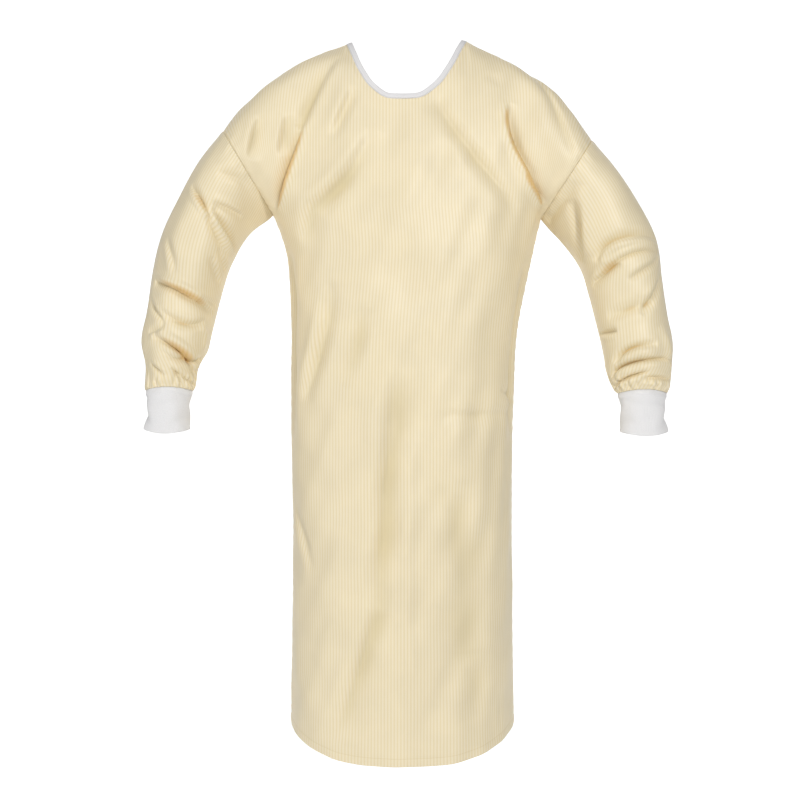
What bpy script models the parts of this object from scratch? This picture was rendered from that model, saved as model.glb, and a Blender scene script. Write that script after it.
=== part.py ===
"""A long-sleeved protective gown in its worn form, hollow, with no wearer.

Metres. X runs to the right of the picture, -Y is the front and Z is up. The origin is the middle of the
neck opening, level with the two points where the shoulder seams meet the neck. "Left" and "right" are the
picture's. Every piece of cloth is a wall: a grid of points on its outer side, and the same points moved in
by its thickness.
"""

import bpy
import numpy as np
from mathutils import Vector
from mathutils.bvhtree import BVHTree

# Cloth and seams
CLOTH = 0.0014
KNIT = 0.0022
SEAM_GAP = 0.0003
CUFF_GAP = 0.0007

# Heights of the garment's main levels
CHEST = -0.275
SIDE_HEM = -1.080
HEM_SAG_FRONT = 0.044
HEM_SAG_BACK = 0.030

# Neck: its corners (x, z) on the shoulder seams, and how deep it is cut at centre front and centre back
NECK_LEFT = (-0.0915, -0.004)
NECK_RIGHT = (0.0975, 0.001)
NECK_DEEP_FRONT = 0.106
NECK_DEEP_BACK = 0.080
# The part of a half panel's width that ends at the neck, not at the shoulder
NECK_SHARE = 0.30
# The line that would join the shoulders over the neck is this high in its middle
NECK_TOP = 0.0145
# The lowest point of the neck lies this far to the side
NECK_MIDDLE = -0.004
# How far a column runs level to the front before it turns down at the neck
NECK_BOW = 0.070
BINDING_GAP = 0.0005
BINDING_WIDTH = 0.0082
BINDING_THICK = 0.0026

# Outline of the neck: place from its corner (0) to the centre (1) and just past it, share of the depth,
# share of the half width
NECK_CURVE = (
    (0.00, 0.00, 1.000),
    (0.12, 0.04, 0.985),
    (0.30, 0.22, 0.900),
    (0.50, 0.50, 0.795),
    (0.70, 0.78, 0.650),
    (0.88, 0.97, 0.360),
    (1.00, 1.00, 0.000),
    (1.12, 0.97, -0.360),
)

# Armhole: its lowest and highest points (x, z), and how far it bows to the front and the back
ARMPIT = {"left": (-0.2110, -0.275), "right": (0.2175, -0.281)}
SHOULDER_TIP = {"left": (-0.2880, -0.145), "right": (0.2960, -0.160)}
ARMHOLE_BOW_LOW = 0.105
ARMHOLE_BOW_HIGH = 0.118
ARMHOLE_LEAN = 0.050

# A column of the cloth above the chest starts upright by this length
COLUMN_RISE = 0.105
# From this part of a half panel's width outwards, its columns lean over to the armhole
LEAN_START = 0.35
# From this part of a half panel's width outwards, its chest line runs to the armpit's own height
ARMPIT_START = 0.8
# The part of the skirt's length, below the chest, in which that step of the chest line dies out
ARMPIT_FADE = 0.12

# Back: the outer edge passes the centre by this much, lifted clear of the edge below it
LAP = 0.036
LAP_LIFT = 0.0042

# Snap caps that hold the lapped back
SNAP_RADIUS = 0.0065
SNAP_HEIGHT = 0.0022
NECK_SNAP_HEIGHT = -0.097
WAIST_SNAP_HEIGHT = -0.470

# How square the body's rings are, and the power that keeps the hem's sag away from the side seams
RING_SQUARE = 0.03
SAG_POWER = 2.6

# Body rings: height, left edge, right edge, depth of the front half, depth of the back half
BODY_RINGS = (
    (-0.275, -0.2110, 0.2175, 0.114, 0.108),
    (-0.302, -0.2000, 0.2110, 0.115, 0.110),
    (-0.341, -0.1880, 0.2030, 0.117, 0.113),
    (-0.379, -0.1840, 0.1950, 0.118, 0.116),
    (-0.456, -0.1810, 0.1800, 0.120, 0.121),
    (-0.571, -0.1815, 0.1735, 0.122, 0.127),
    (-0.763, -0.1785, 0.1700, 0.128, 0.134),
    (-0.878, -0.1790, 0.1705, 0.131, 0.138),
    (-1.080, -0.1820, 0.1735, 0.136, 0.143),
)

# Shoulder seams from the neck corner to the armhole: x and z
SHOULDER_SEAM = {
    "left": (NECK_LEFT, (-0.123, -0.014), (-0.162, -0.034), (-0.195, -0.053), (-0.222, -0.072),
             (-0.242, -0.091), (-0.264, -0.112), (-0.278, -0.130), SHOULDER_TIP["left"]),
    "right": (NECK_RIGHT, (0.126, -0.014), (0.165, -0.034), (0.198, -0.053), (0.227, -0.072),
              (0.246, -0.091), (0.261, -0.110), (0.275, -0.130), SHOULDER_TIP["right"]),
}

# Sleeve rings below the armhole: centre x, y, z, half width, half depth, lean from upright in degrees
SLEEVE_RINGS = {
    "left": (
        (-0.2495, 0.000, -0.2100, 0.0745, 0.084, 31),
        (-0.3003, -0.004, -0.2707, 0.0623, 0.080, 56),
        (-0.3314, -0.010, -0.3320, 0.0589, 0.074, 67),
        (-0.3461, -0.018, -0.3868, 0.0564, 0.066, 75),
        (-0.3554, -0.030, -0.4431, 0.0527, 0.058, 79),
        (-0.3630, -0.042, -0.4901, 0.0500, 0.050, 82),
        (-0.3650, -0.050, -0.5200, 0.0400, 0.040, 86),
        (-0.3675, -0.058, -0.5562, 0.0366, 0.029, 90),
    ),
    "right": (
        (0.2568, 0.000, -0.2205, 0.0725, 0.084, 33),
        (0.3099, -0.004, -0.2859, 0.0671, 0.080, 56),
        (0.3401, -0.010, -0.3400, 0.0629, 0.074, 68),
        (0.3508, -0.018, -0.3932, 0.0576, 0.066, 77),
        (0.3592, -0.030, -0.4478, 0.0546, 0.058, 80),
        (0.3658, -0.042, -0.4925, 0.0534, 0.051, 83),
        (0.3655, -0.049, -0.5240, 0.0490, 0.043, 86),
        (0.3694, -0.058, -0.5601, 0.0382, 0.029, 90),
    ),
}

# Over this part of its length the armhole's shape goes over to the sleeve's ellipses
SLEEVE_BLEND = 0.36

# Cuff rings: how far below the sleeve, and half width and half depth as shares of the sleeve's last ring
CUFF_RINGS = ((0.000, 1.00, 1.00), (0.012, 0.93, 0.95), (0.036, 0.88, 0.92), (0.060, 0.99, 1.02))
CUFF_SHIFT = {"left": (-0.0020, -0.007), "right": (0.0012, -0.007)}

# Gathers where each sleeve meets its cuff
GATHERS = 14
GATHER_DEPTH = 0.0018
GATHER_LENGTH = 0.050
GATHER_START = 0.012

# Folds of the body seen from the front: start x z, middle x z, end x z, half width, depth (below 0: a ridge)
FRONT_FOLDS = (
    (-0.130, -0.085, -0.168, -0.165, -0.203, -0.272, 0.013, 0.011),
    (-0.227, -0.110, -0.232, -0.150, -0.243, -0.195, 0.014, 0.006),
    (-0.183, -0.120, -0.188, -0.155, -0.195, -0.190, 0.013, 0.004),
    (-0.079, -0.092, -0.096, -0.130, -0.112, -0.168, 0.012, 0.004),
    (-0.050, -0.160, -0.100, -0.245, -0.159, -0.332, 0.022, 0.006),
    (0.048, -0.108, 0.093, -0.180, 0.168, -0.292, 0.017, 0.006),
    (0.164, -0.105, 0.176, -0.190, 0.211, -0.272, 0.013, 0.009),
    (0.192, -0.055, 0.244, -0.125, 0.278, -0.198, 0.013, 0.006),
    (-0.110, -0.390, -0.120, -0.450, -0.155, -0.570, 0.019, 0.007),
    (-0.055, -0.425, -0.070, -0.490, -0.090, -0.555, 0.020, 0.005),
    (-0.010, -0.575, -0.035, -0.800, -0.100, -1.080, 0.024, 0.008),
    (0.010, -0.590, -0.006, -0.850, 0.012, -1.120, 0.024, -0.006),
    (0.080, -0.520, 0.095, -0.800, 0.105, -1.110, 0.032, 0.006),
)

# Folds of the back, plain soft ones that hang from the shoulders, in the same columns
BACK_FOLDS = (
    (-0.150, -0.150, -0.125, -0.500, -0.135, -1.100, 0.026, 0.010),
    (-0.060, -0.300, -0.070, -0.650, -0.062, -1.110, 0.024, 0.008),
    (0.065, -0.260, 0.080, -0.600, 0.070, -1.110, 0.024, 0.009),
    (0.155, -0.180, 0.130, -0.520, 0.140, -1.100, 0.026, 0.010),
)

# Folds of each sleeve: the side they show on, start x z, middle x z, end x z, half width, depth
SLEEVE_FOLDS = {
    "left": (
        ("front", -0.342, -0.228, -0.312, -0.280, -0.272, -0.344, 0.012, 0.008),
        ("front", -0.398, -0.378, -0.350, -0.388, -0.300, -0.430, 0.011, 0.009),
        ("front", -0.408, -0.462, -0.352, -0.478, -0.330, -0.530, 0.012, 0.009),
        ("back", -0.395, -0.330, -0.345, -0.345, -0.285, -0.335, 0.012, 0.008),
        ("back", -0.405, -0.425, -0.360, -0.405, -0.300, -0.410, 0.011, 0.007),
    ),
    "right": (
        ("front", 0.405, -0.330, 0.352, -0.345, 0.302, -0.372, 0.012, 0.009),
        ("front", 0.405, -0.480, 0.355, -0.492, 0.332, -0.520, 0.012, 0.009),
        ("front", 0.280, -0.240, 0.285, -0.290, 0.283, -0.340, 0.013, 0.006),
        ("back", 0.405, -0.350, 0.350, -0.360, 0.300, -0.345, 0.012, 0.008),
        ("back", 0.405, -0.440, 0.360, -0.425, 0.312, -0.432, 0.011, 0.007),
    ),
}

# A sleeve's fold dies out towards its silhouette, between these sines of the turn, and above its cuff
FOLD_TURN = (-0.1, 0.7)
CUFF_FREE = 0.03

# How finely the walls are divided
NECK_STEPS = 9
SHOULDER_STEPS = 9
SKIRT_STEPS = 13
YOKE_STEPS = 14
SLEEVE_STEPS = 15
GATHER_STEPS = 5
CUFF_STEPS = 3
FOLD_STEPS = 15
CUT_STEPS = 161
NORMAL_STEP = 0.004
SNAP_SIDES = 16

# Rows of the yoke are even up to this part of the neck's cut, and crowd between there and the cut
EVEN_BELOW_NECK = 0.6

# Folds die out over this depth of cloth towards the side seams
FOLD_FREE = 0.05

# From this share of the binding's thickness inwards its edge is rounded
BINDING_ROUND = 0.35

# The outer back is lifted between these two parts of a half panel's width
LIFT_START = 0.42
LIFT_FULL = 0.20

# Normals of two pieces count as one at a seam if their cosine is above this
LIKE_NORMALS = 0.97

YELLOW = (0.84, 0.76, 0.58)
WHITE = (0.82, 0.81, 0.82)
METAL = (0.62, 0.62, 0.62)


def read_rows(rows, place):
    """A table's columns at any place between its rows, by cubic pieces through every row.

    Column 0 of the table is the place.
    """
    table = np.asarray(rows, float)
    places, values = table[:, 0], table[:, 1:]
    slopes = np.gradient(values, places, axis=0)
    place = np.clip(np.asarray(place, float), places[0], places[-1])
    below = np.clip(np.searchsorted(places, place, side="right") - 1, 0, len(places) - 2)
    step = (places[below + 1] - places[below])[..., None]
    t = (place[..., None] - places[below][..., None]) / step
    return ((2 * t**3 - 3 * t**2 + 1) * values[below] + (t**3 - 2 * t**2 + t) * step * slopes[below]
            + (3 * t**2 - 2 * t**3) * values[below + 1] + (t**3 - t**2) * step * slopes[below + 1])


def ease(value, start, end):
    """0 up to start, 1 from end on, and a soft S between them."""
    t = np.clip((value - start) / (end - start), 0, 1)
    return t * t * (3 - 2 * t)


def lengths(points):
    """Length along a line of points, from its first point to each."""
    steps = np.linalg.norm(np.diff(points, axis=0), axis=1)
    return np.concatenate([[0], np.cumsum(steps)])


def fold_depth(x, z, folds):
    """Sum of a table's folds at x, z: each is a soft trough along a curve, fading towards its two ends."""
    total = np.zeros(np.broadcast(x, z).shape)
    t = np.linspace(0, 1, FOLD_STEPS)
    for x0, z0, x1, z1, x2, z2, half_width, depth in folds:
        line_x = (1 - t)**2 * x0 + 2 * t * (1 - t) * (2 * x1 - (x0 + x2) / 2) + t**2 * x2
        line_z = (1 - t)**2 * z0 + 2 * t * (1 - t) * (2 * z1 - (z0 + z2) / 2) + t**2 * z2
        away = np.hypot(x[..., None] - line_x, z[..., None] - line_z)
        nearest = away.argmin(-1)
        fade = np.sin(np.pi * np.clip(t[nearest], 0.06, 0.94))**0.6
        total += depth * fade * np.exp(-(away.min(-1) / half_width)**2)
    return total


def skirt(u, fall, face):
    """A half ring below the armpits: u -1 to 1 from left to right, fall 0 at the chest to 1 at the hem.

    Each ring is a slightly squared ellipse, x = a (sin t + q sin 3t), y = b (cos t - q cos 3t), with t = u 90
    degrees. The hem sags between the side seams as 1 - |sin t|^2.6, and the sag grows with the cube of the
    fall.
    """
    u, fall = np.broadcast_arrays(np.asarray(u, float), np.asarray(fall, float))
    level = CHEST + (SIDE_HEM - CHEST) * fall
    left, right, front, back = np.moveaxis(read_rows(BODY_RINGS[::-1], level), -1, 0)
    t = u * np.pi / 2
    across = (np.sin(t) + RING_SQUARE * np.sin(3 * t)) / (1 - RING_SQUARE)
    deep = (np.cos(t) - RING_SQUARE * np.cos(3 * t)) / (1 - RING_SQUARE)
    sag = HEM_SAG_FRONT if face == "front" else HEM_SAG_BACK
    x = (left + right) / 2 + (right - left) / 2 * across
    y = -front * deep if face == "front" else back * deep
    z = level - sag * (1 - np.abs(np.sin(t))**SAG_POWER) * fall**3
    return np.stack([x, y, z], -1)


def neck_curve(u):
    """Depth and half width of the neck at u, as shares of its whole depth and half width."""
    return read_rows(NECK_CURVE, np.clip(1 - np.abs(u) / NECK_SHARE, 0, 1))


def shoulder_line(u):
    """The top line of the cloth over u: the shoulder seams, and the line that would join them."""
    out = np.zeros(np.shape(u) + (3,))
    for side, sign in (("left", -1), ("right", 1)):
        seam = np.array(SHOULDER_SEAM[side])
        table = np.column_stack([lengths(seam), seam])
        part = np.clip((np.abs(u) - NECK_SHARE) / (1 - NECK_SHARE), 0, 1)
        over_seam = read_rows(table, part * table[-1, 0])
        inner = neck_curve(u)[..., 1]
        over_neck = np.stack([NECK_MIDDLE + (seam[0, 0] - NECK_MIDDLE) * inner,
                              NECK_TOP + (seam[0, 1] - NECK_TOP) * inner**2], -1)
        line = np.where((np.abs(u) < NECK_SHARE)[..., None], over_neck, over_seam)
        here = np.sign(u) == sign if side == "left" else u >= 0
        out[..., 0] = np.where(here, line[..., 0], out[..., 0])
        out[..., 2] = np.where(here, line[..., 1], out[..., 2])
    return out


def yoke(u, rise, face):
    """The cloth above the chest: cubic columns from the chest ring (rise 0) to the shoulder line (rise 1).

    A column leaves the ring upright at centre front and leans over to the armhole's own line at the side.
    It reaches the shoulder line level, pointing front to back, so that front and back meet smoothly. The
    outermost column is half of the armhole.
    """
    forward = -1 if face == "front" else 1
    u, rise = np.broadcast_arrays(np.asarray(u, float), np.asarray(rise, float))
    start = skirt(u, 0, face)
    below = skirt(u, 0.01, face)
    upright = start - below
    upright /= np.linalg.norm(upright, axis=-1, keepdims=True)
    pit = np.where(u < 0, ARMPIT["left"][0], ARMPIT["right"][0])
    pit_z = np.where(u < 0, ARMPIT["left"][1], ARMPIT["right"][1])
    tip_x = np.where(u < 0, SHOULDER_TIP["left"][0], SHOULDER_TIP["right"][0])
    tip_z = np.where(u < 0, SHOULDER_TIP["left"][1], SHOULDER_TIP["right"][1])
    lean = np.stack([tip_x - pit, np.zeros_like(pit), tip_z - pit_z], -1)
    lean /= np.linalg.norm(lean, axis=-1, keepdims=True)
    out_of_pit = lean * ARMHOLE_LEAN + np.array([0, forward * ARMHOLE_BOW_LOW, 0])
    at_side = ease(np.abs(u), LEAN_START, 1)[..., None]**2
    start[..., 2] += (pit_z - CHEST) * ease(np.abs(u), ARMPIT_START, 1)
    leave = upright * COLUMN_RISE * (1 - at_side) + out_of_pit * at_side
    end = shoulder_line(u)
    bow = NECK_BOW + (ARMHOLE_BOW_HIGH - NECK_BOW) * ease(np.abs(u), NECK_SHARE / 2, 1)
    arrive = np.stack([np.zeros_like(bow), forward * bow, np.zeros_like(bow)], -1)
    t = rise[..., None]
    low = (1 - t)**3 * start + 3 * t * (1 - t)**2 * (start + leave)
    return low + 3 * t**2 * (1 - t) * (end + arrive) + t**3 * end


def neck_cut(u, face):
    """How far up its column the cloth goes at u: 1 at the shoulders, less where the round neck is cut out."""
    u = np.asarray(u, float)
    steps = np.linspace(0, 1, CUT_STEPS)
    deep = NECK_DEEP_FRONT if face == "front" else NECK_DEEP_BACK
    top = shoulder_line(u)[:, 2]
    middle = shoulder_line(np.zeros(1))[0, 2]
    rim = top - (deep + middle) * neck_curve(u)[:, 0]
    heights = yoke(u[:, None], steps[None, :], face)[..., 2]
    cut = np.array([np.interp(level, column, steps) for level, column in zip(rim, heights)])
    return np.where(np.abs(u) < NECK_SHARE, cut, 1.0)


def folded(points, face):
    """Presses the folds of one face into the cloth, straight in from the front or the back."""
    depth = fold_depth(points[..., 0], points[..., 2], FRONT_FOLDS if face == "front" else BACK_FOLDS)
    out = points.copy()
    inward = 1 if face == "front" else -1
    held = ease(np.abs(points[..., 1]), 0, FOLD_FREE)
    out[..., 1] += inward * depth * held
    return out


def sheet(u, v, face):
    """The whole cloth of one face: v 0 at the hem, 1 at the chest ring and 2 at the line of the shoulders."""
    u, v = np.broadcast_arrays(np.asarray(u, float), np.asarray(v, float))
    low = skirt(u, np.clip(1 - v, 0, 1), face)
    pit = np.where(u < 0, ARMPIT["left"][1], ARMPIT["right"][1])
    low[..., 2] += (pit - CHEST) * ease(1 - v, ARMPIT_FADE, 0) * ease(np.abs(u), ARMPIT_START, 1)
    high = yoke(u, np.clip(v - 1, 0, 1), face)
    return folded(np.where((v > 1)[..., None], high, low), face)


def panel(u, face):
    """Grids of one face's points and normals over the columns u, in rows from the hem up."""
    u = np.asarray(u, float)[None, :]
    low = np.linspace(0, 1, SKIRT_STEPS + 1)[:-1, None] * np.ones_like(u)
    rise = np.linspace(0, 1, YOKE_STEPS + 1)[:, None]
    cut = neck_cut(u[0], face)[None, :]
    level = EVEN_BELOW_NECK * cut
    crowded = level + (rise - level) / (1 - level) * (cut - level)
    high = 1 + np.where(rise < level, rise, crowded)
    v = np.concatenate([low, high])
    step = NORMAL_STEP
    across = sheet(np.clip(u + step, -1, 1), v, face) - sheet(np.clip(u - step, -1, 1), v, face)
    up = sheet(u, np.clip(v + step, 0, 2), face) - sheet(u, np.clip(v - step, 0, 2), face)
    normal = np.cross(across, up) * (1 if face == "front" else -1)
    return sheet(u, v, face), normal / np.linalg.norm(normal, axis=-1, keepdims=True)


def half_columns():
    """The values of u from centre to side, even along the neck and even along the shoulder."""
    return np.concatenate([np.linspace(0, NECK_SHARE, NECK_STEPS + 1),
                           np.linspace(NECK_SHARE, 1, SHOULDER_STEPS + 1)[1:]])


def armhole(side):
    """The closed armhole from the armpit up the front and down the back: both panels' outer columns."""
    u = -1.0 if side == "left" else 1.0
    rise = np.linspace(0, 1, YOKE_STEPS + 1)
    front = folded(yoke(np.full_like(rise, u), rise, "front"), "front")
    back = folded(yoke(np.full_like(rise, u), rise, "back"), "back")
    return np.concatenate([front, back[-2:0:-1]])


def sleeve(side):
    """A grid of one sleeve: rings from the armhole to the cuff.

    A ring lies in the plane of its lean and Y. Its shape goes over from the armhole's to an ellipse within
    the first third of the length, and the gathers are waves that start just above the cuff.
    """
    rings = np.array(SLEEVE_RINGS[side], float)
    outward = -1 if side == "left" else 1
    hole = armhole(side)
    table = np.column_stack([lengths(rings[:, :3]), rings])
    whole = table[-1, 0]
    along = np.concatenate([np.linspace(0, whole - GATHER_LENGTH, SLEEVE_STEPS + 1)[:-1],
                            np.linspace(whole - GATHER_LENGTH, whole, GATHER_STEPS + 1)])
    centre_x, centre_y, centre_z, wide, deep, lean = (v[:, None] for v in read_rows(table, along).T)
    lean = np.radians(lean)
    turn = np.arange(len(hole)) / len(hole) * 2 * np.pi
    base_lean = np.radians(rings[0, 5])
    hole_x = (hole[:, 0] - rings[0, 0]) * outward
    hole_z = hole[:, 2] - rings[0, 2]
    out_hole = hole_x * np.sin(base_lean) + hole_z * np.cos(base_lean)
    off_plane = hole_x * np.cos(base_lean) - hole_z * np.sin(base_lean)
    blend = ease(along / whole, 0, SLEEVE_BLEND)[:, None]
    narrower = wide / rings[0, 3]
    shallower = deep / rings[0, 4]
    out = (1 - blend) * out_hole * narrower - blend * wide * np.cos(turn)
    back = (1 - blend) * hole[:, 1] * shallower - blend * deep * np.sin(turn)
    to_cuff = whole - along[:, None]
    swell = ease(to_cuff, 0, GATHER_START) * ease(to_cuff, GATHER_LENGTH, GATHER_START)
    gather = np.cos(GATHERS * turn) * GATHER_DEPTH * swell
    ring_x = centre_x + outward * np.sin(lean) * out + outward * (1 - blend) * off_plane * np.cos(lean)
    ring_z = centre_z + np.cos(lean) * out - (1 - blend) * off_plane * np.sin(lean)
    face_on = np.sin(turn)[None, :]
    crease = np.zeros_like(ring_x)
    for face, sign in (("front", 1), ("back", -1)):
        rows = [row[1:] for row in SLEEVE_FOLDS[side] if row[0] == face]
        crease += fold_depth(ring_x, ring_z, rows) * ease(sign * face_on, *FOLD_TURN)
    crease = crease * ease(along, 0, FOLD_FREE)[:, None] * ease(to_cuff, 0, CUFF_FREE)
    shrink = 1 - (crease - gather) / np.hypot(out, back)
    ring_x = centre_x + (ring_x - centre_x) * shrink
    ring_z = centre_z + (ring_z - centre_z) * shrink
    ring_y = centre_y * blend + back * shrink
    ring = np.stack(np.broadcast_arrays(ring_x, ring_y, ring_z), -1)
    return ring[:, ::-outward]


def cuff(side):
    """A grid of one knitted cuff: slightly waisted rings hanging from the end of the sleeve."""
    end = np.array(SLEEVE_RINGS[side][-1])
    shift_x, shift_y = CUFF_SHIFT[side]
    rows = np.array(CUFF_RINGS)
    fall = np.linspace(0, rows[-1, 0], CUFF_STEPS + 1)
    wide, deep = read_rows(rows, fall).T * end[3:5, None]
    share = fall / rows[-1, 0]
    turn = np.arange(2 * YOKE_STEPS) / YOKE_STEPS * np.pi
    outward = -1 if side == "left" else 1
    x = end[0] + (shift_x * share)[:, None] - outward * wide[:, None] * np.cos(turn)
    y = end[1] + (shift_y * share)[:, None] - deep[:, None] * np.sin(turn)
    z = np.broadcast_to((end[2] - fall)[:, None], x.shape)
    return np.stack([x, y, z], -1)[:, ::-outward]


def tube_normals(grid):
    """Unit normals of a tube's grid, from the steps to its neighbours."""
    wide = np.concatenate([grid[:, -1:], grid, grid[:, :1]], axis=1)
    normal = np.cross(wide[:, 2:] - wide[:, :-2], np.gradient(grid, axis=0))
    return normal / np.linalg.norm(normal, axis=-1, keepdims=True)


def cloth_piece(name, grid, normals, closed=False, thick=CLOTH, colour=YELLOW, gap=SEAM_GAP):
    """One cut piece: its grid of outer points, their normals, and what its wall needs."""
    return {"name": name, "grid": grid, "normals": normals, "closed": closed, "thick": thick,
            "colour": colour, "gap": gap}


def seam_key(point):
    """Names a point on a seam, so that the pieces that meet there find each other."""
    return tuple(np.round(point * 1e5).astype(int))


def border(grid, closed):
    """Grid places on the open edges of a piece."""
    rows, columns = grid.shape[:2]
    ends = {(r, c) for r in (0, rows - 1) for c in range(columns)}
    sides = set() if closed else {(r, c) for r in range(rows) for c in (0, columns - 1)}
    return sorted(ends | sides)


def share_seam_normals(pieces):
    """Gives pieces that meet at a seam one normal there, the mean of theirs.

    Their walls then end face to face.
    Where the smooth front and back both meet a sleeve, at the armpit, their like normals count once.
    """
    found = {}
    for piece in pieces:
        for place in border(piece["grid"], piece["closed"]):
            normal = piece["normals"][place]
            others = found.setdefault(seam_key(piece["grid"][place]), [])
            if not any(normal @ other > LIKE_NORMALS for other in others):
                others.append(normal)
    for piece in pieces:
        for place in border(piece["grid"], piece["closed"]):
            mean = np.sum(found[seam_key(piece["grid"][place])], axis=0)
            piece["normals"][place] = mean / np.linalg.norm(mean)


def drawn_back(piece):
    """Draws each open edge of a piece back by half of its seam gap, along the cloth."""
    grid = piece["grid"]
    out = grid.copy()

    def step(edge, inner):
        way = inner - edge
        return way / np.linalg.norm(way, axis=-1, keepdims=True) * piece["gap"] / 2

    if not piece["closed"]:
        out[:, 0] += step(grid[:, 0], grid[:, 1])
        out[:, -1] += step(grid[:, -1], grid[:, -2])
    out[0] += step(grid[0], grid[1])
    out[-1] += step(grid[-1], grid[-2])
    return out


def material(name, colour, roughness, metallic=0.0):
    """A plain Principled material."""
    made = bpy.data.materials.new(name)
    made.use_nodes = True
    shader = made.node_tree.nodes["Principled BSDF"]
    shader.inputs["Base Color"].default_value = (*colour, 1)
    shader.inputs["Roughness"].default_value = roughness
    shader.inputs["Metallic"].default_value = metallic
    return made


def add_object(name, mesh, colour, roughness, metallic=0.0):
    """Puts a mesh in the gown's collection under its piece's name."""
    obj = bpy.data.objects.new(name, mesh)
    obj.data.materials.append(material(name, colour, roughness, metallic))
    gown.objects.link(obj)
    return obj


def add_wall(piece):
    """Makes one piece of cloth a closed wall: outer grid, inner grid and the rims between them."""
    closed, normals = piece["closed"], piece["normals"]
    outer = drawn_back(piece)
    inner = outer - normals * piece["thick"]
    rows, columns = outer.shape[:2]
    points = np.concatenate([outer.reshape(-1, 3), inner.reshape(-1, 3)])
    lower = rows * columns
    spans = columns if closed else columns - 1

    def at(row, column):
        return row * columns + column % columns

    faces = []
    for r in range(rows - 1):
        for c in range(spans):
            a, b, d, e = at(r, c), at(r, c + 1), at(r + 1, c + 1), at(r + 1, c)
            falling = np.linalg.norm(points[a] - points[d]) < np.linalg.norm(points[b] - points[e])
            for corners in ((a, b, d), (a, d, e)) if falling else ((a, b, e), (b, d, e)):
                faces += [corners, tuple(lower + v for v in reversed(corners))]
    for c in range(spans):
        first, last = (at(0, c + 1), at(0, c)), (at(rows - 1, c), at(rows - 1, c + 1))
        faces += [(a, b, lower + b, lower + a) for a, b in (first, last)]
    if not closed:
        for r in range(rows - 1):
            first, last = (at(r, 0), at(r + 1, 0)), (at(r + 1, columns - 1), at(r, columns - 1))
            faces += [(a, b, lower + b, lower + a) for a, b in (first, last)]
    mesh = bpy.data.meshes.new(piece["name"])
    mesh.from_pydata(points.tolist(), [], faces)
    mesh.update()
    return add_object(piece["name"], mesh, piece["colour"], 0.85)


def neck_edge(pieces):
    """The cut neck edge and the cloth's normals there: under back, round the front, outer back."""
    cloth = {piece["name"]: piece for piece in pieces}
    way = []
    for name, columns in (("back_right_panel", slice(-1, -NECK_STEPS - 2, -1)),
                          ("front_panel", slice(-SHOULDER_STEPS - 1, SHOULDER_STEPS - 1, -1)),
                          ("back_left_panel", slice(NECK_STEPS, None, -1))):
        way.append((cloth[name]["grid"][-1, columns], cloth[name]["normals"][-1, columns]))
    return (np.concatenate(part) for part in zip(*way))


def add_binding(pieces):
    """The strip on the neck edge: a flat section with a rounded top, swept along the cut edge."""
    path, normal = neck_edge(pieces)
    along = np.gradient(path, axis=0)
    along -= normal * (along * normal).sum(-1, keepdims=True)
    inward = np.cross(along, normal)
    inward /= np.linalg.norm(inward, axis=-1, keepdims=True)
    middle = path - normal * CLOTH / 2
    round_off = BINDING_THICK * BINDING_ROUND
    section = ((BINDING_GAP, -BINDING_THICK / 2), (BINDING_WIDTH - round_off, -BINDING_THICK / 2),
               (BINDING_WIDTH, -round_off / 2), (BINDING_WIDTH, round_off / 2),
               (BINDING_WIDTH - round_off, BINDING_THICK / 2), (BINDING_GAP, BINDING_THICK / 2))
    rings = np.stack([middle + inward * a + normal * b for a, b in section], axis=1)
    count, sides = rings.shape[:2]
    faces = []
    for r in range(count - 1):
        low, high = r * sides, (r + 1) * sides
        faces += [(high + s, high + (s + 1) % sides, low + (s + 1) % sides, low + s) for s in range(sides)]
    faces += [tuple(range(sides)), tuple((count - 1) * sides + s for s in reversed(range(sides)))]
    mesh = bpy.data.meshes.new("neck_binding")
    mesh.from_pydata(rings.reshape(-1, 3).tolist(), [], faces)
    mesh.update()
    return add_object("neck_binding", mesh, WHITE, 0.9)


def lap_share():
    """The lap as a part of the half panel's width at the chest."""
    ring = skirt(np.linspace(0, 1, 60), 0, "back")
    return LAP / lengths(ring)[-1]


def lap_offset(u):
    """How far the outer back is lifted off the sheet: nothing well before the centre, then all of it."""
    return LAP_LIFT * ease(u, LIFT_START, LIFT_FULL)


def add_snap(name, carrier, height):
    """A round cap in the middle of the lap, square to the cloth and seated on it with the seam gap."""
    corners = [vertex.co for vertex in carrier.data.vertices]
    cloth = BVHTree.FromPolygons(corners, [face.vertices for face in carrier.data.polygons])
    clear = 3 * SNAP_RADIUS
    seat, normal = cloth.ray_cast(Vector((LAP / 2, 1, height)), Vector((0, -1, 0)))[:2]
    turn = normal.to_track_quat("Z", "Y")
    above = [Vector((0, 0, clear))]
    for angle in np.linspace(0, 2 * np.pi, SNAP_SIDES + 1):
        above.append(Vector((SNAP_RADIUS * np.cos(angle), SNAP_RADIUS * np.sin(angle), clear)))
    falls = [cloth.ray_cast(seat + turn @ point, -normal)[3] for point in above]
    rise = clear - min(falls) + SEAM_GAP + SNAP_HEIGHT / 2
    bpy.ops.mesh.primitive_cylinder_add(vertices=SNAP_SIDES, radius=SNAP_RADIUS, depth=SNAP_HEIGHT)
    cap = bpy.context.object
    cap.name = name
    cap.location = seat + normal * rise
    cap.rotation_euler = turn.to_euler()
    cap.data.materials.append(material(name, METAL, 0.35, 1.0))
    for collection in cap.users_collection:
        collection.objects.unlink(cap)
    gown.objects.link(cap)
    return cap


for old in list(bpy.data.objects):
    bpy.data.objects.remove(old)
gown = bpy.data.collections.new("protective_gown")
bpy.context.scene.collection.children.link(gown)

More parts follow.
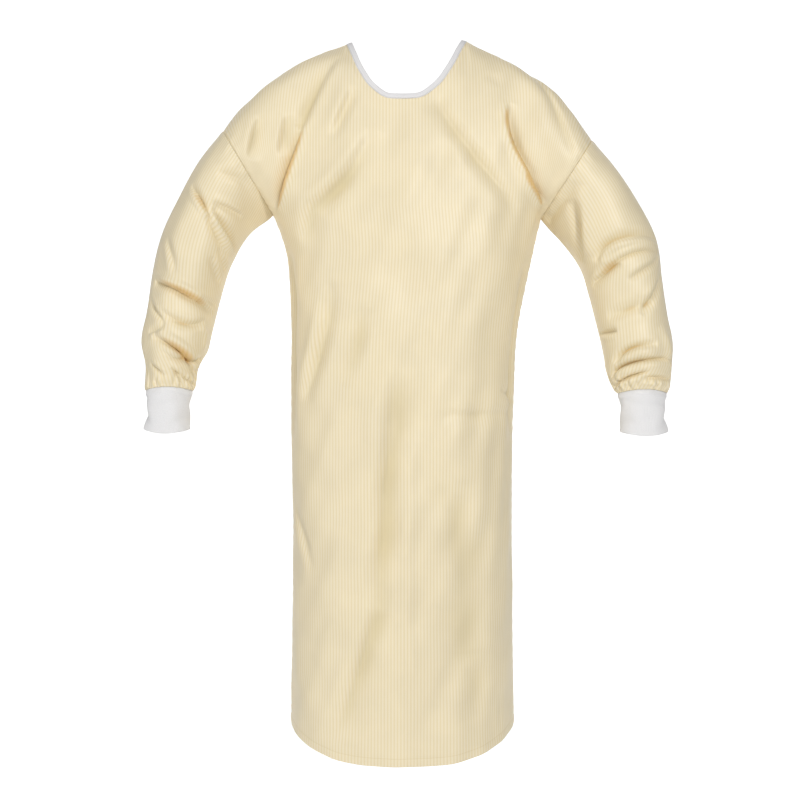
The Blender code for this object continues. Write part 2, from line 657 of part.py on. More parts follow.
half = half_columns()
lap = lap_share()
front_columns = np.concatenate([-half[::-1], half[1:]])
back_columns = np.concatenate([[-lap], half])
front = panel(front_columns, "front")
under_back = panel(back_columns[::-1], "back")
outer_back, outer_normals = panel(-back_columns, "back")
outer_back = outer_back + outer_normals * lap_offset(back_columns)[None, :, None]
pieces = [
    cloth_piece("front_panel", *front),
    cloth_piece("back_left_panel", outer_back, outer_normals),
    cloth_piece("back_right_panel", *under_back),
]
for side in ("left", "right"):
    tube, knit = sleeve(side), cuff(side)
    pieces.append(cloth_piece(f"sleeve_{side}", tube, tube_normals(tube), True))
    pieces.append(cloth_piece(f"cuff_{side}", knit, tube_normals(knit), True, KNIT, WHITE, CUFF_GAP))
share_seam_normals(pieces)
walls = {piece["name"]: add_wall(piece) for piece in pieces}
add_binding(pieces)
add_snap("neck_snap", walls["back_left_panel"], NECK_SNAP_HEIGHT)
add_snap("waist_snap", walls["back_left_panel"], WAIST_SNAP_HEIGHT)
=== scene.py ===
import bpy
import numpy as np
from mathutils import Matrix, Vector


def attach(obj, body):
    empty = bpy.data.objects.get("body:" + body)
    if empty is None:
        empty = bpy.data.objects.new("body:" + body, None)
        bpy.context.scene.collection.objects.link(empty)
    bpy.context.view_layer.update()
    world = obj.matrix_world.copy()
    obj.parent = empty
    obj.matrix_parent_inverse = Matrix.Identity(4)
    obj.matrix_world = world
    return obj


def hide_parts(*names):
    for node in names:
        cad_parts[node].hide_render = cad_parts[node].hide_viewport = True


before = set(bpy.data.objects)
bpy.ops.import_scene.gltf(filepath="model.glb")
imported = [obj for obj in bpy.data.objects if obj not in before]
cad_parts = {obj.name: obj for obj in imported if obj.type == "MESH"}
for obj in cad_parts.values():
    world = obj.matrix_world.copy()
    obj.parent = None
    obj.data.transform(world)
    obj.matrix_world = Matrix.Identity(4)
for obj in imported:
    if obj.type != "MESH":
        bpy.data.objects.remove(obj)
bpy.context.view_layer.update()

# Front panel
# One piece of tightly woven polyester, calendered to a soft sheen, with no seam down the middle. It is sewn to the
# two backs at the sides and shoulders and to the sleeves round the armholes, and hangs to a curved, narrow hem.
CLOTH_THICK = 0.0010
CHEST, SIDE_HEM = -0.275, -1.080
HEM_SAG = {"front": 0.044, "back": 0.030}
NECK_CORNERS = {"left": (-0.0915, -0.004), "right": (0.0975, 0.001)}
NECK_DEEP = {"front": 0.106, "back": 0.080}
NECK_SHARE = 0.30
NECK_TOP = 0.0145
NECK_MIDDLE = -0.004
NECK_BOW = 0.070
RING_SQUARE = 0.03
COLUMN_RISE = 0.105
ARMPIT = {"left": (-0.2110, -0.275), "right": (0.2175, -0.281)}
SHOULDER_TIP = {"left": (-0.2880, -0.145), "right": (0.2960, -0.160)}
ARMHOLE_BOW_LOW, ARMHOLE_BOW_HIGH, ARMHOLE_LEAN = 0.105, 0.118, 0.050
FACING = {"front": -1, "back": 1}

# Outline of the neck: place from its corner (0) past the centre (1), share of depth, share of half width
NECK_CURVE = (
    (0.00, 0.00, 1.000), (0.12, 0.04, 0.985), (0.30, 0.22, 0.900), (0.50, 0.50, 0.795),
    (0.70, 0.78, 0.650), (0.88, 0.97, 0.360), (1.00, 1.00, 0.000), (1.12, 0.97, -0.360),
)

# Body rings: height, left edge, right edge, depth of the front half, depth of the back half
BODY_RINGS = (
    (-1.080, -0.1820, 0.1735, 0.136, 0.143), (-0.878, -0.1790, 0.1705, 0.131, 0.138),
    (-0.763, -0.1785, 0.1700, 0.128, 0.134), (-0.571, -0.1815, 0.1735, 0.122, 0.127),
    (-0.456, -0.1810, 0.1800, 0.120, 0.121), (-0.379, -0.1840, 0.1950, 0.118, 0.116),
    (-0.341, -0.1880, 0.2030, 0.117, 0.113), (-0.302, -0.2000, 0.2110, 0.115, 0.110),
    (-0.275, -0.2110, 0.2175, 0.114, 0.108),
)

# Shoulder seams from the neck corner to the armhole: x and z
SHOULDER_SEAM = {
    "left": (NECK_CORNERS["left"], (-0.123, -0.014), (-0.162, -0.034), (-0.195, -0.053), (-0.222, -0.072),
             (-0.242, -0.091), (-0.264, -0.112), (-0.278, -0.130), SHOULDER_TIP["left"]),
    "right": (NECK_CORNERS["right"], (0.126, -0.014), (0.165, -0.034), (0.198, -0.053), (0.227, -0.072),
              (0.246, -0.091), (0.261, -0.110), (0.275, -0.130), SHOULDER_TIP["right"]),
}

# Folds of the front: start u v, middle u v, end u v, width in mm on the left of the fold's way and on its right,
# depth in mm (below 0 is a ridge), height in mm of the lip on the right, and mm by which the lip leans over
FRONT_FOLDS = (
    (-0.777, 1.019, -0.573, 1.160, -0.450, 1.411, 13, 3.6, 12.5, 5, 5.5),
    (-0.470, 1.380, -0.427, 1.486, -0.330, 1.760, 14, 6, 9, 2.5, 0.5),
    (-0.728, 1.568, -0.792, 1.469, -0.882, 1.380, 12, 6, 9, 1.5, 0.5),
    (-0.542, 1.468, -0.562, 1.370, -0.593, 1.276, 10, 5, 8, 2, 0.5),
    (-0.182, 1.531, -0.242, 1.423, -0.300, 1.312, 10, 6, 7, 1.5, 0),
    (-0.107, 1.333, -0.295, 1.090, -0.605, 0.936, 18, 9, 11, 3, 0),
    (0.095, 1.470, 0.260, 1.264, 0.538, 0.984, 7, 12, 8.5, 1.5, 0),
    (0.480, 1.505, 0.505, 1.280, 0.800, 1.048, 13, 3.6, 10.5, 4.5, 5.5),
    (0.560, 1.179, 0.660, 1.110, 0.863, 1.060, 6, 3.2, 5.5, 3, 3.5),
    (0.605, 1.968, 0.772, 1.596, 0.960, 1.512, 5.5, 11, 5.5, 2, 1.5),
    (0.380, 1.656, 0.405, 1.629, 0.443, 1.607, 11, 10, 2, 0, 0),
    (-0.382, 0.856, -0.473, 0.738, -0.635, 0.630, 14, 9, 10, 2.5, 0),
    (-0.180, 0.809, -0.230, 0.735, -0.292, 0.661, 16, 15, 8.5, 1, 0),
    (-0.032, 0.680, -0.075, 0.453, -0.132, 0.200, 25, 13, 10, 2.5, 0),
    (-0.132, 0.260, -0.213, 0.152, -0.333, 0.030, 30, 12, 10, 2, 0),
    (0.048, 0.640, 0.018, 0.365, 0.045, 0.060, 13, 14, -5.5, 0, 0),
    (0.193, 0.605, 0.400, 0.610, 0.838, 0.611, 5, 12, 3.5, 1, 0),
    (0.615, 0.654, 0.718, 0.645, 0.948, 0.629, 9, 6, 4.5, 1.5, 0.5),
    (-0.175, 0.440, -0.175, 0.208, -0.172, 0.000, 3, 3, 0.5, 0, 0),
    (-0.782, 0.431, -0.655, 0.371, -0.547, 0.315, 10, 7, 4.5, 1, 0),
    (0.242, 0.177, 0.403, 0.177, 0.655, 0.166, 5, 7, 1, 0.5, 0),
    (-0.320, 0.281, -0.242, 0.283, -0.177, 0.285, 4, 6, 1, 0.5, 0),
    (0.630, 0.096, 0.623, 0.056, 0.620, 0.010, 4, 4, 1, 0.5, 0),
    (0.272, 0.487, 0.365, 0.270, 0.410, 0.018, 34, 28, 9, 1, 0),
    (-0.820, 0.930, -0.840, 0.760, -0.800, 0.560, 15, 12, 8.5, 1.5, 0),
    (0.790, 0.900, 0.830, 0.740, 0.800, 0.560, 12, 15, 8.5, 1.5, 0),
)

# Folds of the back, in the same form as those of the front: soft ones that hang from the shoulder blades
BACK_FOLDS = (
    (-0.777, 1.019, -0.600, 1.180, -0.480, 1.420, 4.5, 15, 9, 0, 0),
    (0.790, 1.030, 0.610, 1.180, 0.490, 1.400, 15, 4.0, 9, 3, 3.0),
    (-0.700, 1.500, -0.760, 1.400, -0.850, 1.300, 9, 8, 3.5, 0.5, 0),
    (0.640, 1.560, 0.720, 1.440, 0.800, 1.330, 8, 9, 3.5, 0.5, 0),
    (-0.560, 1.250, -0.500, 0.700, -0.520, 0.060, 26, 22, 9, 0, 0),
    (0.600, 1.200, 0.540, 0.680, 0.560, 0.040, 22, 26, 9, 0, 0),
    (-0.260, 0.900, -0.290, 0.520, -0.250, 0.030, 22, 24, 7, 0, 0),
    (0.270, 1.020, 0.320, 0.600, 0.290, 0.050, 24, 22, 8, 0, 0),
    (-0.420, 1.000, -0.400, 0.600, -0.380, 0.200, 24, 24, -4, 0, 0),
    (0.430, 1.050, 0.430, 0.650, 0.420, 0.150, 24, 24, -4, 0, 0),
    (-0.900, 0.760, -0.740, 0.700, -0.600, 0.600, 12, 8, 5, 1.5, 0),
    (0.880, 0.700, 0.760, 0.640, 0.620, 0.560, 8, 12, 5, 1.5, 0),
    (-0.300, 0.620, -0.480, 0.600, -0.720, 0.560, 6, 10, 2.5, 0.5, 0),
    (0.620, 0.300, 0.740, 0.240, 0.880, 0.210, 7, 10, 3, 0.5, 0),
)

# Where the cloth breaks over at each armhole: height v and share u, stripes fan out beyond it
ARMHOLE_BREAK = {
    "left": ((1.00, 0.80), (1.02, 0.777), (1.16, 0.573), (1.41, 0.450), (1.49, 0.427), (1.66, 0.348), (2.0, 0.30)),
    "right": ((1.00, 0.88), (1.05, 0.800), (1.16, 0.640), (1.28, 0.505), (1.50, 0.480), (1.70, 0.38), (2.0, 0.30)),
}

STRIPES_MEET = 1.45
HEM_TURN = 0.012

# Cloth length in metres for a whole step of u, of the rise and of the neck's cut, and how far from each such seam
# the folds are held down by it
SIDE_LENGTH, SHOULDER_LENGTH, NECK_LENGTH = 0.26, 0.30, 0.25
SIDE_HOLDS, SHOULDER_HOLDS, NECK_HOLDS = 0.030, 0.022, 0.020
RIPPLE = 0.0042
RIPPLE_SEED = {"front": 11, "back": 12}
# Depths at which the painted shade of a trough and the painted glow of a sharp fold are full
TROUGH_FULL, GLOW_FULL = 0.013, 0.003
SEAM_DIP, SEAM_DIP_WIDTH = 0.00012, 0.0015
PUCKER, PUCKER_REACH, PUCKER_LENGTH = 0.0007, 0.011, 0.019


def read_rows(rows, place):
    """A table's columns at any place between its rows, by cubic pieces through every row (column 0 is the place)."""
    table = np.asarray(rows, float)
    places, values = table[:, 0], table[:, 1:]
    slopes = np.gradient(values, places, axis=0)
    place = np.clip(np.asarray(place, float), places[0], places[-1])
    below = np.clip(np.searchsorted(places, place, side="right") - 1, 0, len(places) - 2)
    step = (places[below + 1] - places[below])[..., None]
    t = (place[..., None] - places[below][..., None]) / step
    return ((2 * t**3 - 3 * t**2 + 1) * values[below] + (t**3 - 2 * t**2 + t) * step * slopes[below]
            + (3 * t**2 - 2 * t**3) * values[below + 1] + (t**3 - t**2) * step * slopes[below + 1])


def ease(value, start, end):
    """0 up to start, 1 from end on, and the soft S t^2 (3 - 2t) between them."""
    t = np.clip((value - start) / (end - start), 0, 1)
    return t * t * (3 - 2 * t)


def lengths(points, axis=0):
    """Running length along lines of points: the sum of the distances between neighbours, from 0."""
    steps = np.linalg.norm(np.diff(points, axis=axis), axis=-1)
    start = np.zeros_like(np.take(steps, [0], axis=axis))
    return np.concatenate([start, np.cumsum(steps, axis=axis)], axis=axis)


def unit(vectors):
    """Vectors divided by their own length."""
    return vectors / np.linalg.norm(vectors, axis=-1, keepdims=True)


def skirt(u, fall, face):
    """A half ring below the armpits: u -1 to 1 from left to right, fall 0 at the chest to 1 at the hem.

    Each ring is a slightly squared ellipse, x = a (sin t + q sin 3t), y = b (cos t - q cos 3t), with t = 90 u
    degrees. The hem sags between the side seams as 1 - |sin t|^2.6, times the cube of the fall.
    """
    u, fall = np.broadcast_arrays(np.asarray(u, float), np.asarray(fall, float))
    level = CHEST + (SIDE_HEM - CHEST) * fall
    left, right, front, back = np.moveaxis(read_rows(BODY_RINGS, level), -1, 0)
    t = u * np.pi / 2
    across = (np.sin(t) + RING_SQUARE * np.sin(3 * t)) / (1 - RING_SQUARE)
    deep = (np.cos(t) - RING_SQUARE * np.cos(3 * t)) / (1 - RING_SQUARE)
    x = (left + right) / 2 + (right - left) / 2 * across
    y = -front * deep if face == "front" else back * deep
    z = level - HEM_SAG[face] * (1 - np.abs(np.sin(t))**2.6) * fall**3
    return np.stack([x, y, z], -1)


def neck_curve(u):
    """Depth and half width of the neck at u, as shares of its whole depth and half width."""
    return read_rows(NECK_CURVE, np.clip(1 - np.abs(u) / NECK_SHARE, 0, 1))


def shoulder_line(u):
    """The top line of the cloth over u: the shoulder seams, and the line that would join them over the neck.

    Over a seam, u picks a place along its length. Over the neck, x follows the neck curve's width and z goes from
    the seam's to the neck top's by 1 - width^2.
    """
    out = np.zeros(np.shape(u) + (3,))
    for side, here in (("left", u < 0), ("right", u >= 0)):
        seam = np.array(SHOULDER_SEAM[side])
        table = np.column_stack([lengths(seam), seam])
        part = np.clip((np.abs(u) - NECK_SHARE) / (1 - NECK_SHARE), 0, 1)
        over_seam = read_rows(table, part * table[-1, 0])
        inner = neck_curve(u)[..., 1]
        over_neck = np.stack([NECK_MIDDLE + (seam[0, 0] - NECK_MIDDLE) * inner,
                              NECK_TOP + (seam[0, 1] - NECK_TOP) * inner**2], -1)
        line = np.where((np.abs(u) < NECK_SHARE)[..., None], over_neck, over_seam)
        out[..., 0] = np.where(here, line[..., 0], out[..., 0])
        out[..., 2] = np.where(here, line[..., 1], out[..., 2])
    return out


def yoke(u, rise, face):
    """The cloth above the chest: cubic columns from the chest ring (rise 0) to the shoulder line (rise 1).

    A column leaves the ring upright at the centre and leans over to the armhole's own line at the side. It reaches
    the shoulder line level, pointing front to back. The outermost column is half of the armhole.
    """
    u, rise = np.broadcast_arrays(np.asarray(u, float), np.asarray(rise, float))
    start = skirt(u, 0, face)
    upright = unit(start - skirt(u, 0.01, face))
    here = u < 0
    pit_x, pit_z = (np.where(here, ARMPIT["left"][n], ARMPIT["right"][n]) for n in (0, 1))
    tip_x, tip_z = (np.where(here, SHOULDER_TIP["left"][n], SHOULDER_TIP["right"][n]) for n in (0, 1))
    lean = unit(np.stack([tip_x - pit_x, np.zeros_like(pit_x), tip_z - pit_z], -1))
    out_of_pit = lean * ARMHOLE_LEAN + np.array([0, FACING[face] * ARMHOLE_BOW_LOW, 0])
    at_side = ease(np.abs(u), 0.35, 1.0)[..., None]**2
    start[..., 2] += (pit_z - CHEST) * ease(np.abs(u), 0.8, 1)
    leave = upright * COLUMN_RISE * (1 - at_side) + out_of_pit * at_side
    end = shoulder_line(u)
    bow = NECK_BOW + (ARMHOLE_BOW_HIGH - NECK_BOW) * ease(np.abs(u), 0.15, 1.0)
    arrive = np.stack([np.zeros_like(bow), FACING[face] * bow, np.zeros_like(bow)], -1)
    t = rise[..., None]
    return ((1 - t)**3 * start + 3 * t * (1 - t)**2 * (start + leave) + 3 * t**2 * (1 - t) * (end + arrive)
            + t**3 * end)


def neck_cut(u, face):
    """How far up its column the cloth goes at u: 1 at the shoulders, less where the round neck is cut out."""
    steps = np.linspace(0, 1, 241)
    top = shoulder_line(u)[:, 2]
    middle = shoulder_line(np.zeros(1))[0, 2]
    rim = top - (NECK_DEEP[face] + middle) * neck_curve(u)[:, 0]
    heights = yoke(u[:, None], steps[None, :], face)[..., 2]
    cut = np.array([np.interp(level, column, steps) for level, column in zip(rim, heights)])
    return np.where(np.abs(u) < NECK_SHARE, cut, 1.0)


def body_cloth(u, v, face):
    """The smooth cloth of one face: v 0 at the hem, 1 at the chest ring and 2 at the line of the shoulders."""
    u, v = np.broadcast_arrays(np.asarray(u, float), np.asarray(v, float))
    low = skirt(u, np.clip(1 - v, 0, 1), face)
    pit_z = np.where(u < 0, ARMPIT["left"][1], ARMPIT["right"][1])
    low[..., 2] += (pit_z - CHEST) * ease(1 - v, 0.12, 0.0) * ease(np.abs(u), 0.8, 1)
    return np.where((v > 1)[..., None], yoke(u, np.clip(v - 1, 0, 1), face), low)


def creases(points, surface, outward, rows):
    """A table's folds at the points: their sum in metres outwards (a trough is below 0), and their sideways shift.

    A fold's middle line is the quadratic curve through its three places, laid on the surface. With d the distance
    to the right of it, the height is -depth exp(-(d/w)^2), w being the width on that side, plus the lip
    exp(-((d - 2.3 w)/(1.2 w))^2). The lip leans to the left by exp(-((d - 1.1 w)/(1.6 w))^2) times its last
    column. Along the fold all are multiplied by (4 t (1 - t))^0.7.
    """
    total, shift = np.zeros(points.shape[:-1]), np.zeros(points.shape)
    t = np.linspace(0, 1, 61)
    for a0, b0, a1, b1, a2, b2, *sizes in rows:
        p, q, r = (1 - t)**2, 2 * t * (1 - t), t**2
        a = p * a0 + q * (2 * a1 - (a0 + a2) / 2) + r * a2
        b = p * b0 + q * (2 * b1 - (b0 + b2) / 2) + r * b2
        line = surface(a, b)
        way = unit(np.gradient(line, axis=0))
        right = np.cross(way, outward(a, b))
        wide_left, wide_right, depth, lip, over = (v / 1000 for v in sizes)
        reach = 2.6 * max(wide_left, 2.2 * wide_right)
        near = ((points > line.min(0) - reach) & (points < line.max(0) + reach)).all(-1)
        if not near.any():
            continue
        gap = points[near][:, None] - line
        which = (gap**2).sum(-1).argmin(-1)
        gap = gap[np.arange(len(which)), which]
        ahead = (gap * way[which]).sum(-1)
        segment = np.linalg.norm(line[-1] - line[0]) / (len(t) - 1)
        place = np.clip(t[which] + np.clip(ahead / segment, -0.6, 0.6) / (len(t) - 1), 0, 1)
        off_line = np.where((which > 0) & (which < len(t) - 1), (gap**2).sum(-1) - ahead**2, (gap**2).sum(-1))
        away = np.sqrt(np.maximum(off_line, 0)) * np.sign((gap * right[which]).sum(-1))
        wide = np.where(away > 0, wide_right, wide_left)
        fade = (4 * place * (1 - place))**0.7
        height = -depth * np.exp(-(away / wide)**2)
        height += lip * np.exp(-((away - 2.3 * wide_right) / (1.2 * wide_right))**2)
        total[near] += fade * height
        lean = over * np.exp(-((away - 1.1 * wide_right) / (1.6 * wide_right))**2)
        shift[near] -= right[which] * (fade * lean)[:, None]
    return total, shift


def painted_glow_share(shift, held):
    """0 to 1 for the glow painted into a sharp fold: the length of its sideways shift, 3 mm or more giving 1."""
    return np.clip(np.linalg.norm(shift, axis=-1) * held / GLOW_FULL, 0, 1)


def painted_trough_share(fold, held, full):
    """0 to 1 for how deep the cloth lies in a trough, a depth of full or more giving 1: the share of painted shade
    there.
    """
    return np.clip(-fold * held / full, 0, 1)


def ripples(points, seed, size):
    """Slow uneven waves of a hung cloth: the mean of 14 sine waves with seeded directions and lengths, times size."""
    chance = np.random.default_rng(seed)
    ways = unit(chance.normal(size=(14, 3)) * (1, 1, 0.55))
    wave = chance.uniform(0.035, 0.16, 14)
    start = chance.uniform(0, 2 * np.pi, 14)
    return size * np.sin(points @ (ways / wave[:, None]).T * 2 * np.pi + start).mean(-1) * 2


def steps_normal(surface, a, b, step_a, step_b, low, high):
    """Unit normals of a surface from small steps each way in its two parameters, kept within low and high."""
    along = surface(np.clip(a + step_a, low[0], high[0]), b) - surface(np.clip(a - step_a, low[0], high[0]), b)
    up = surface(a, np.clip(b + step_b, low[1], high[1])) - surface(a, np.clip(b - step_b, low[1], high[1]))
    return unit(np.cross(along, up))


def grid_normals(grid, flip):
    """Unit normals of a grid of points, from the differences to its neighbours."""
    return unit(np.cross(np.gradient(grid, axis=1), np.gradient(grid, axis=0))) * flip


def panel_grid(columns, face, lift=None):
    """One body piece over its columns: outer points, normals, stripe, length, painted shade, painted glow and the
    hem's stitches.

    Rows run from the hem to the neck and shoulder. They crowd at the hem, and again below the neck. The stripe
    coordinate is the length round the body from the centre below the chest. Above it is that of the same x on the
    chest ring. Beyond the armhole break it is that of the same column, the mean of its places on the chest ring and
    on the shoulder line, so that the stripes fan out over the arm. The two are made to agree at one height.
    """
    u = columns[None, :]
    hem_rows = np.array([0, 0.0012, 0.0028, 0.006, 0.010, 0.0140, 0.0155, 0.0175, 0.021])
    low = np.concatenate([hem_rows, np.linspace(0.026, 1, 166)])[:-1, None] * np.ones_like(u)
    rise = np.linspace(0, 1, 78)[:, None]
    cut = neck_cut(columns, face)[None, :]
    level = 0.6 * cut
    crowded = level + (rise - level) / (1 - level) * (cut - level)
    v = np.concatenate([low, 1 + np.where(rise < level, rise, crowded)])
    u = np.broadcast_to(u, v.shape)

    def surface(a, b):
        return body_cloth(a, b, face)

    def outward(a, b):
        return -FACING[face] * steps_normal(surface, a, b, 0.004, 0.004, (-1, 0), (1, 2))

    base, normal = surface(u, v), outward(u, v)
    rows = FRONT_FOLDS if face == "front" else BACK_FOLDS
    fold, shift = creases(base, surface, outward, rows)
    fold += ripples(base, RIPPLE_SEED[face], RIPPLE) * (0.3 + 0.7 * np.abs(normal[..., 1]))
    side_gap = (1 - np.abs(u)) * SIDE_LENGTH
    shoulder_gap = np.where(v > 1, (2 - v) * SHOULDER_LENGTH, SHOULDER_LENGTH)
    neck_gap = np.where(np.abs(u) < NECK_SHARE, (1 + cut - v) * NECK_LENGTH, NECK_LENGTH)
    seam_gap = np.minimum(side_gap, shoulder_gap)
    held = ease(side_gap, 0, SIDE_HOLDS) * ease(shoulder_gap, 0, SHOULDER_HOLDS) * ease(neck_gap, 0, NECK_HOLDS)
    run = lengths(base, axis=0)
    pucker = PUCKER * np.sin(2 * np.pi * run / PUCKER_LENGTH + 2 * np.sin(run / 0.047))
    pucker = pucker * np.exp(-seam_gap / PUCKER_REACH)
    sewn = -SEAM_DIP * np.exp(-(seam_gap / SEAM_DIP_WIDTH)**2) + pucker * ease(seam_gap, 0, 0.004)
    stitch = run - HEM_TURN
    turned = 0.0004 * ease(run, HEM_TURN + 0.001, HEM_TURN - 0.001) - 0.0005 * np.exp(-(stitch / 0.0012)**2)
    grid = base + normal * (fold * held + sewn + turned)[..., None] + shift * held[..., None]
    if lift is not None:
        grid = grid + normal * lift[None, :, None]

    chest_u = np.linspace(-1, 1, 401)
    chest = skirt(chest_u, 0, face)
    chest_run = lengths(chest[:, :2])
    chest_run -= chest_run[200]
    top_run = lengths(shoulder_line(chest_u))
    top_run -= top_run[200]
    by_column = np.interp(u, chest_u, (chest_run + top_run) / 2)
    by_place = np.interp(base[..., 0], chest[:, 0], chest_run)
    level_run = np.where(v <= 1, ring_run(u, v, face), 0)
    break_u = np.where(u < 0, np.interp(v, *np.array(ARMHOLE_BREAK["left"]).T),
                       np.interp(v, *np.array(ARMHOLE_BREAK["right"]).T))
    for here in (u < 0, u >= 0):
        far = np.where(here, 0, 9)
        meet = np.argmin(np.abs(v - STRIPES_MEET) + np.abs(np.abs(u) - break_u) + far)
        by_column = np.where(here, by_column + (by_place - by_column).ravel()[meet], by_column)
    soft = 0.012 + 0.11 * ease(v, 1.15, 1.45)
    beyond = ease(np.abs(u), break_u - soft, break_u + soft)
    stripe = np.where(v <= 1, level_run, by_place * (1 - beyond) + by_column * beyond)
    # Shares of painted shade in the troughs and of painted glow in the sharp folds
    trough = painted_trough_share(fold, held, TROUGH_FULL)
    return grid, grid_normals(grid, 1), stripe, run, trough, painted_glow_share(shift, held), stitch


def ring_run(u, v, face):
    """Length round the body from the centre to u on the ring at v, by adding up 200 chords of a half ring."""
    places = np.linspace(-1, 1, 401)
    levels = np.linspace(0, 1, 41)
    rings = skirt(places[None, :], 1 - levels[:, None], face)
    run = lengths(rings[..., :2], axis=1)
    run -= run[:, 200:201]
    level = np.clip(v, 0, 1) * 40
    below = np.minimum(level.astype(int), 39)
    part = level - below
    column = (np.clip(u, -1, 1) + 1) * 200
    left = np.minimum(column.astype(int), 399)
    across = column - left
    low = run[below, left] * (1 - across) + run[below, left + 1] * across
    high = run[below + 1, left] * (1 - across) + run[below + 1, left + 1] * across
    return low * (1 - part) + high * part


def add_object(name, data):
    """A new object in the scene for a mesh, a lamp or a camera."""
    made = bpy.data.objects.new(name, data)
    bpy.context.scene.collection.objects.link(made)
    return made


def add_shell(name, outer, inner, layers, attributes):
    """Makes a closed thin shell of two grids of points and the rims between them, with UV maps and point values.

    Faces: a quad for each cell of the outer grid, the same turned round for the inner one, and a quad for each step
    of the border.
    """
    rows, columns = outer.shape[:2]
    half = rows * columns
    index = np.arange(half).reshape(rows, columns)
    a, b, c, d = index[:-1, :-1], index[:-1, 1:], index[1:, 1:], index[1:, :-1]
    faces = np.stack([a, b, c, d], -1).reshape(-1, 4)
    border = np.concatenate([index[0, ::-1], index[1:, 0], index[-1, 1:], index[-2:0:-1, -1]])
    after = np.roll(border, -1)
    rim = np.stack([border, after, after + half, border + half], -1)
    faces = np.concatenate([faces, faces[:, ::-1] + half, rim])
    points = np.concatenate([outer.reshape(-1, 3), inner.reshape(-1, 3)])
    mesh = bpy.data.meshes.new(name)
    mesh.from_pydata(points.tolist(), [], faces.tolist())
    mesh.polygons.foreach_set("use_smooth", np.arange(len(faces)) < len(faces) - len(rim))
    corners = np.empty(len(mesh.loops), np.int32)
    mesh.loops.foreach_get("vertex_index", corners)
    for layer, (across, along) in layers.items():
        pair = np.stack([np.tile(across.ravel(), 2), np.tile(along.ravel(), 2)], -1)
        mesh.uv_layers.new(name=layer).data.foreach_set("uv", pair[corners].ravel())
    for label, values in attributes.items():
        mesh.attributes.new(label, "FLOAT", "POINT").data.foreach_set("value", np.tile(values.ravel(), 2))
    mesh.update()
    return add_object(name, mesh)


def linear(hex_colour):
    """A colour written as sRGB hex, turned linear: c/12.92 below 0.04045, else ((c + 0.055)/1.055)^2.4."""
    c = np.array([int(hex_colour[n:n + 2], 16) for n in (1, 3, 5)]) / 255
    return (*np.where(c <= 0.04045, c / 12.92, ((c + 0.055) / 1.055)**2.4), 1)


def feed(material, node, **inputs):
    """Gives sockets a value or a link: a key is the socket's name with _ for a space, or _ and its number.

    A node given as a value stands for its first output.
    """
    for key, value in inputs.items():
        socket = node.inputs[int(key[1:]) if key[0] == "_" else key.replace("_", " ")]
        if isinstance(value, bpy.types.Node):
            value = value.outputs[0]
        if isinstance(value, bpy.types.NodeSocket):
            material.node_tree.links.new(value, socket)
        else:
            socket.default_value = value


def add_node(material, kind, settings=None, **inputs):
    """Adds one shader node: settings are its own properties, and inputs are fed to its sockets."""
    node = material.node_tree.nodes.new(f"ShaderNode{kind}")
    for key, value in (settings or {}).items():
        setattr(node, key, value)
    feed(material, node, **inputs)
    return node


def new_material(name):
    """An empty node material and its Principled shader."""
    material = bpy.data.materials.new(name)
    material.use_nodes = True
    return material, material.node_tree.nodes["Principled BSDF"]


# Woven striped polyester: a cream ground with a slightly deeper stripe every 5 mm, dull with a soft sheen at
# grazing angles. A beige shade is painted into the troughs, for the shade of their sides, and a yellow glow is
# painted deep in the sharp folds, for light that has met the yellow cloth more than once.
STRIPE_PITCH = 0.0050
WEAVE_PITCH = 0.0012          # threads are 0.2 mm apart: drawn coarser, so that they show close up
# The third colour is a painted shade laid into troughs, the fourth a painted yellow glow laid into sharp folds
GROUND, STRIPE, TROUGH_PAINTED_SHADE, FOLD_PAINTED_GLOW = "#EFE2C5", "#E9D9B0", "#D6C69C", "#DCA83E"
STITCHES = "#D9C48F"
DYE_PATCH = 1 / 14            # metres: the dye is a little uneven over about 70 mm

striped, shader = new_material("striped woven polyester")
cloth_map = add_node(striped, "UVMap", {"uv_map": "cloth"})
flat_place = add_node(striped, "SeparateXYZ", _0=cloth_map)
slow = add_node(striped, "TexNoise", {"noise_dimensions": "2D"}, Vector=cloth_map, Scale=1 / DYE_PATCH,
                Detail=2.0)
turns = add_node(striped, "Math", {"operation": "MULTIPLY"}, _0=flat_place, _1=1 / STRIPE_PITCH)
wave = add_node(striped, "Math", {"operation": "PINGPONG"}, _0=turns, _1=0.5)
band = add_node(striped, "MapRange", {"interpolation_type": "SMOOTHSTEP"}, _0=wave, _1=0.20, _2=0.36)
stripe_tint = add_node(striped, "Mix", {"data_type": "RGBA"}, _0=band, _6=linear(GROUND), _7=linear(STRIPE))
# Painted glow: the crease value mixes the yellow glow colour into sharp folds and gathers
crease_value = add_node(striped, "Attribute", {"attribute_name": "crease"})
glow = add_node(striped, "MapRange", {}, _0=crease_value.outputs["Fac"], _1=0.55, _2=1.0, _4=0.60)
# Painted shade: the trough value mixes the beige shade colour into the troughs
trough_read = add_node(striped, "Attribute", {"attribute_name": "trough"})
trough_part = add_node(striped, "MapRange", {"interpolation_type": "SMOOTHSTEP"}, _0=trough_read.outputs["Fac"],
                       _1=0.12, _2=1.0, _4=0.80)
painted_shade_mix = add_node(striped, "Mix", {"data_type": "RGBA"}, _0=trough_part, _6=stripe_tint.outputs[2],
                  _7=linear(TROUGH_PAINTED_SHADE))
painted_glow_mix = add_node(striped, "Mix", {"data_type": "RGBA"}, _0=glow, _6=painted_shade_mix.outputs[2], _7=linear(FOLD_PAINTED_GLOW))
uneven = add_node(striped, "MapRange", {}, _0=slow, _1=0.3, _2=0.7, _3=0.97, _4=1.02)
dyed = add_node(striped, "Mix", {"data_type": "RGBA", "blend_type": "MULTIPLY"}, _0=1.0, _6=painted_glow_mix.outputs[2],
                _7=uneven)
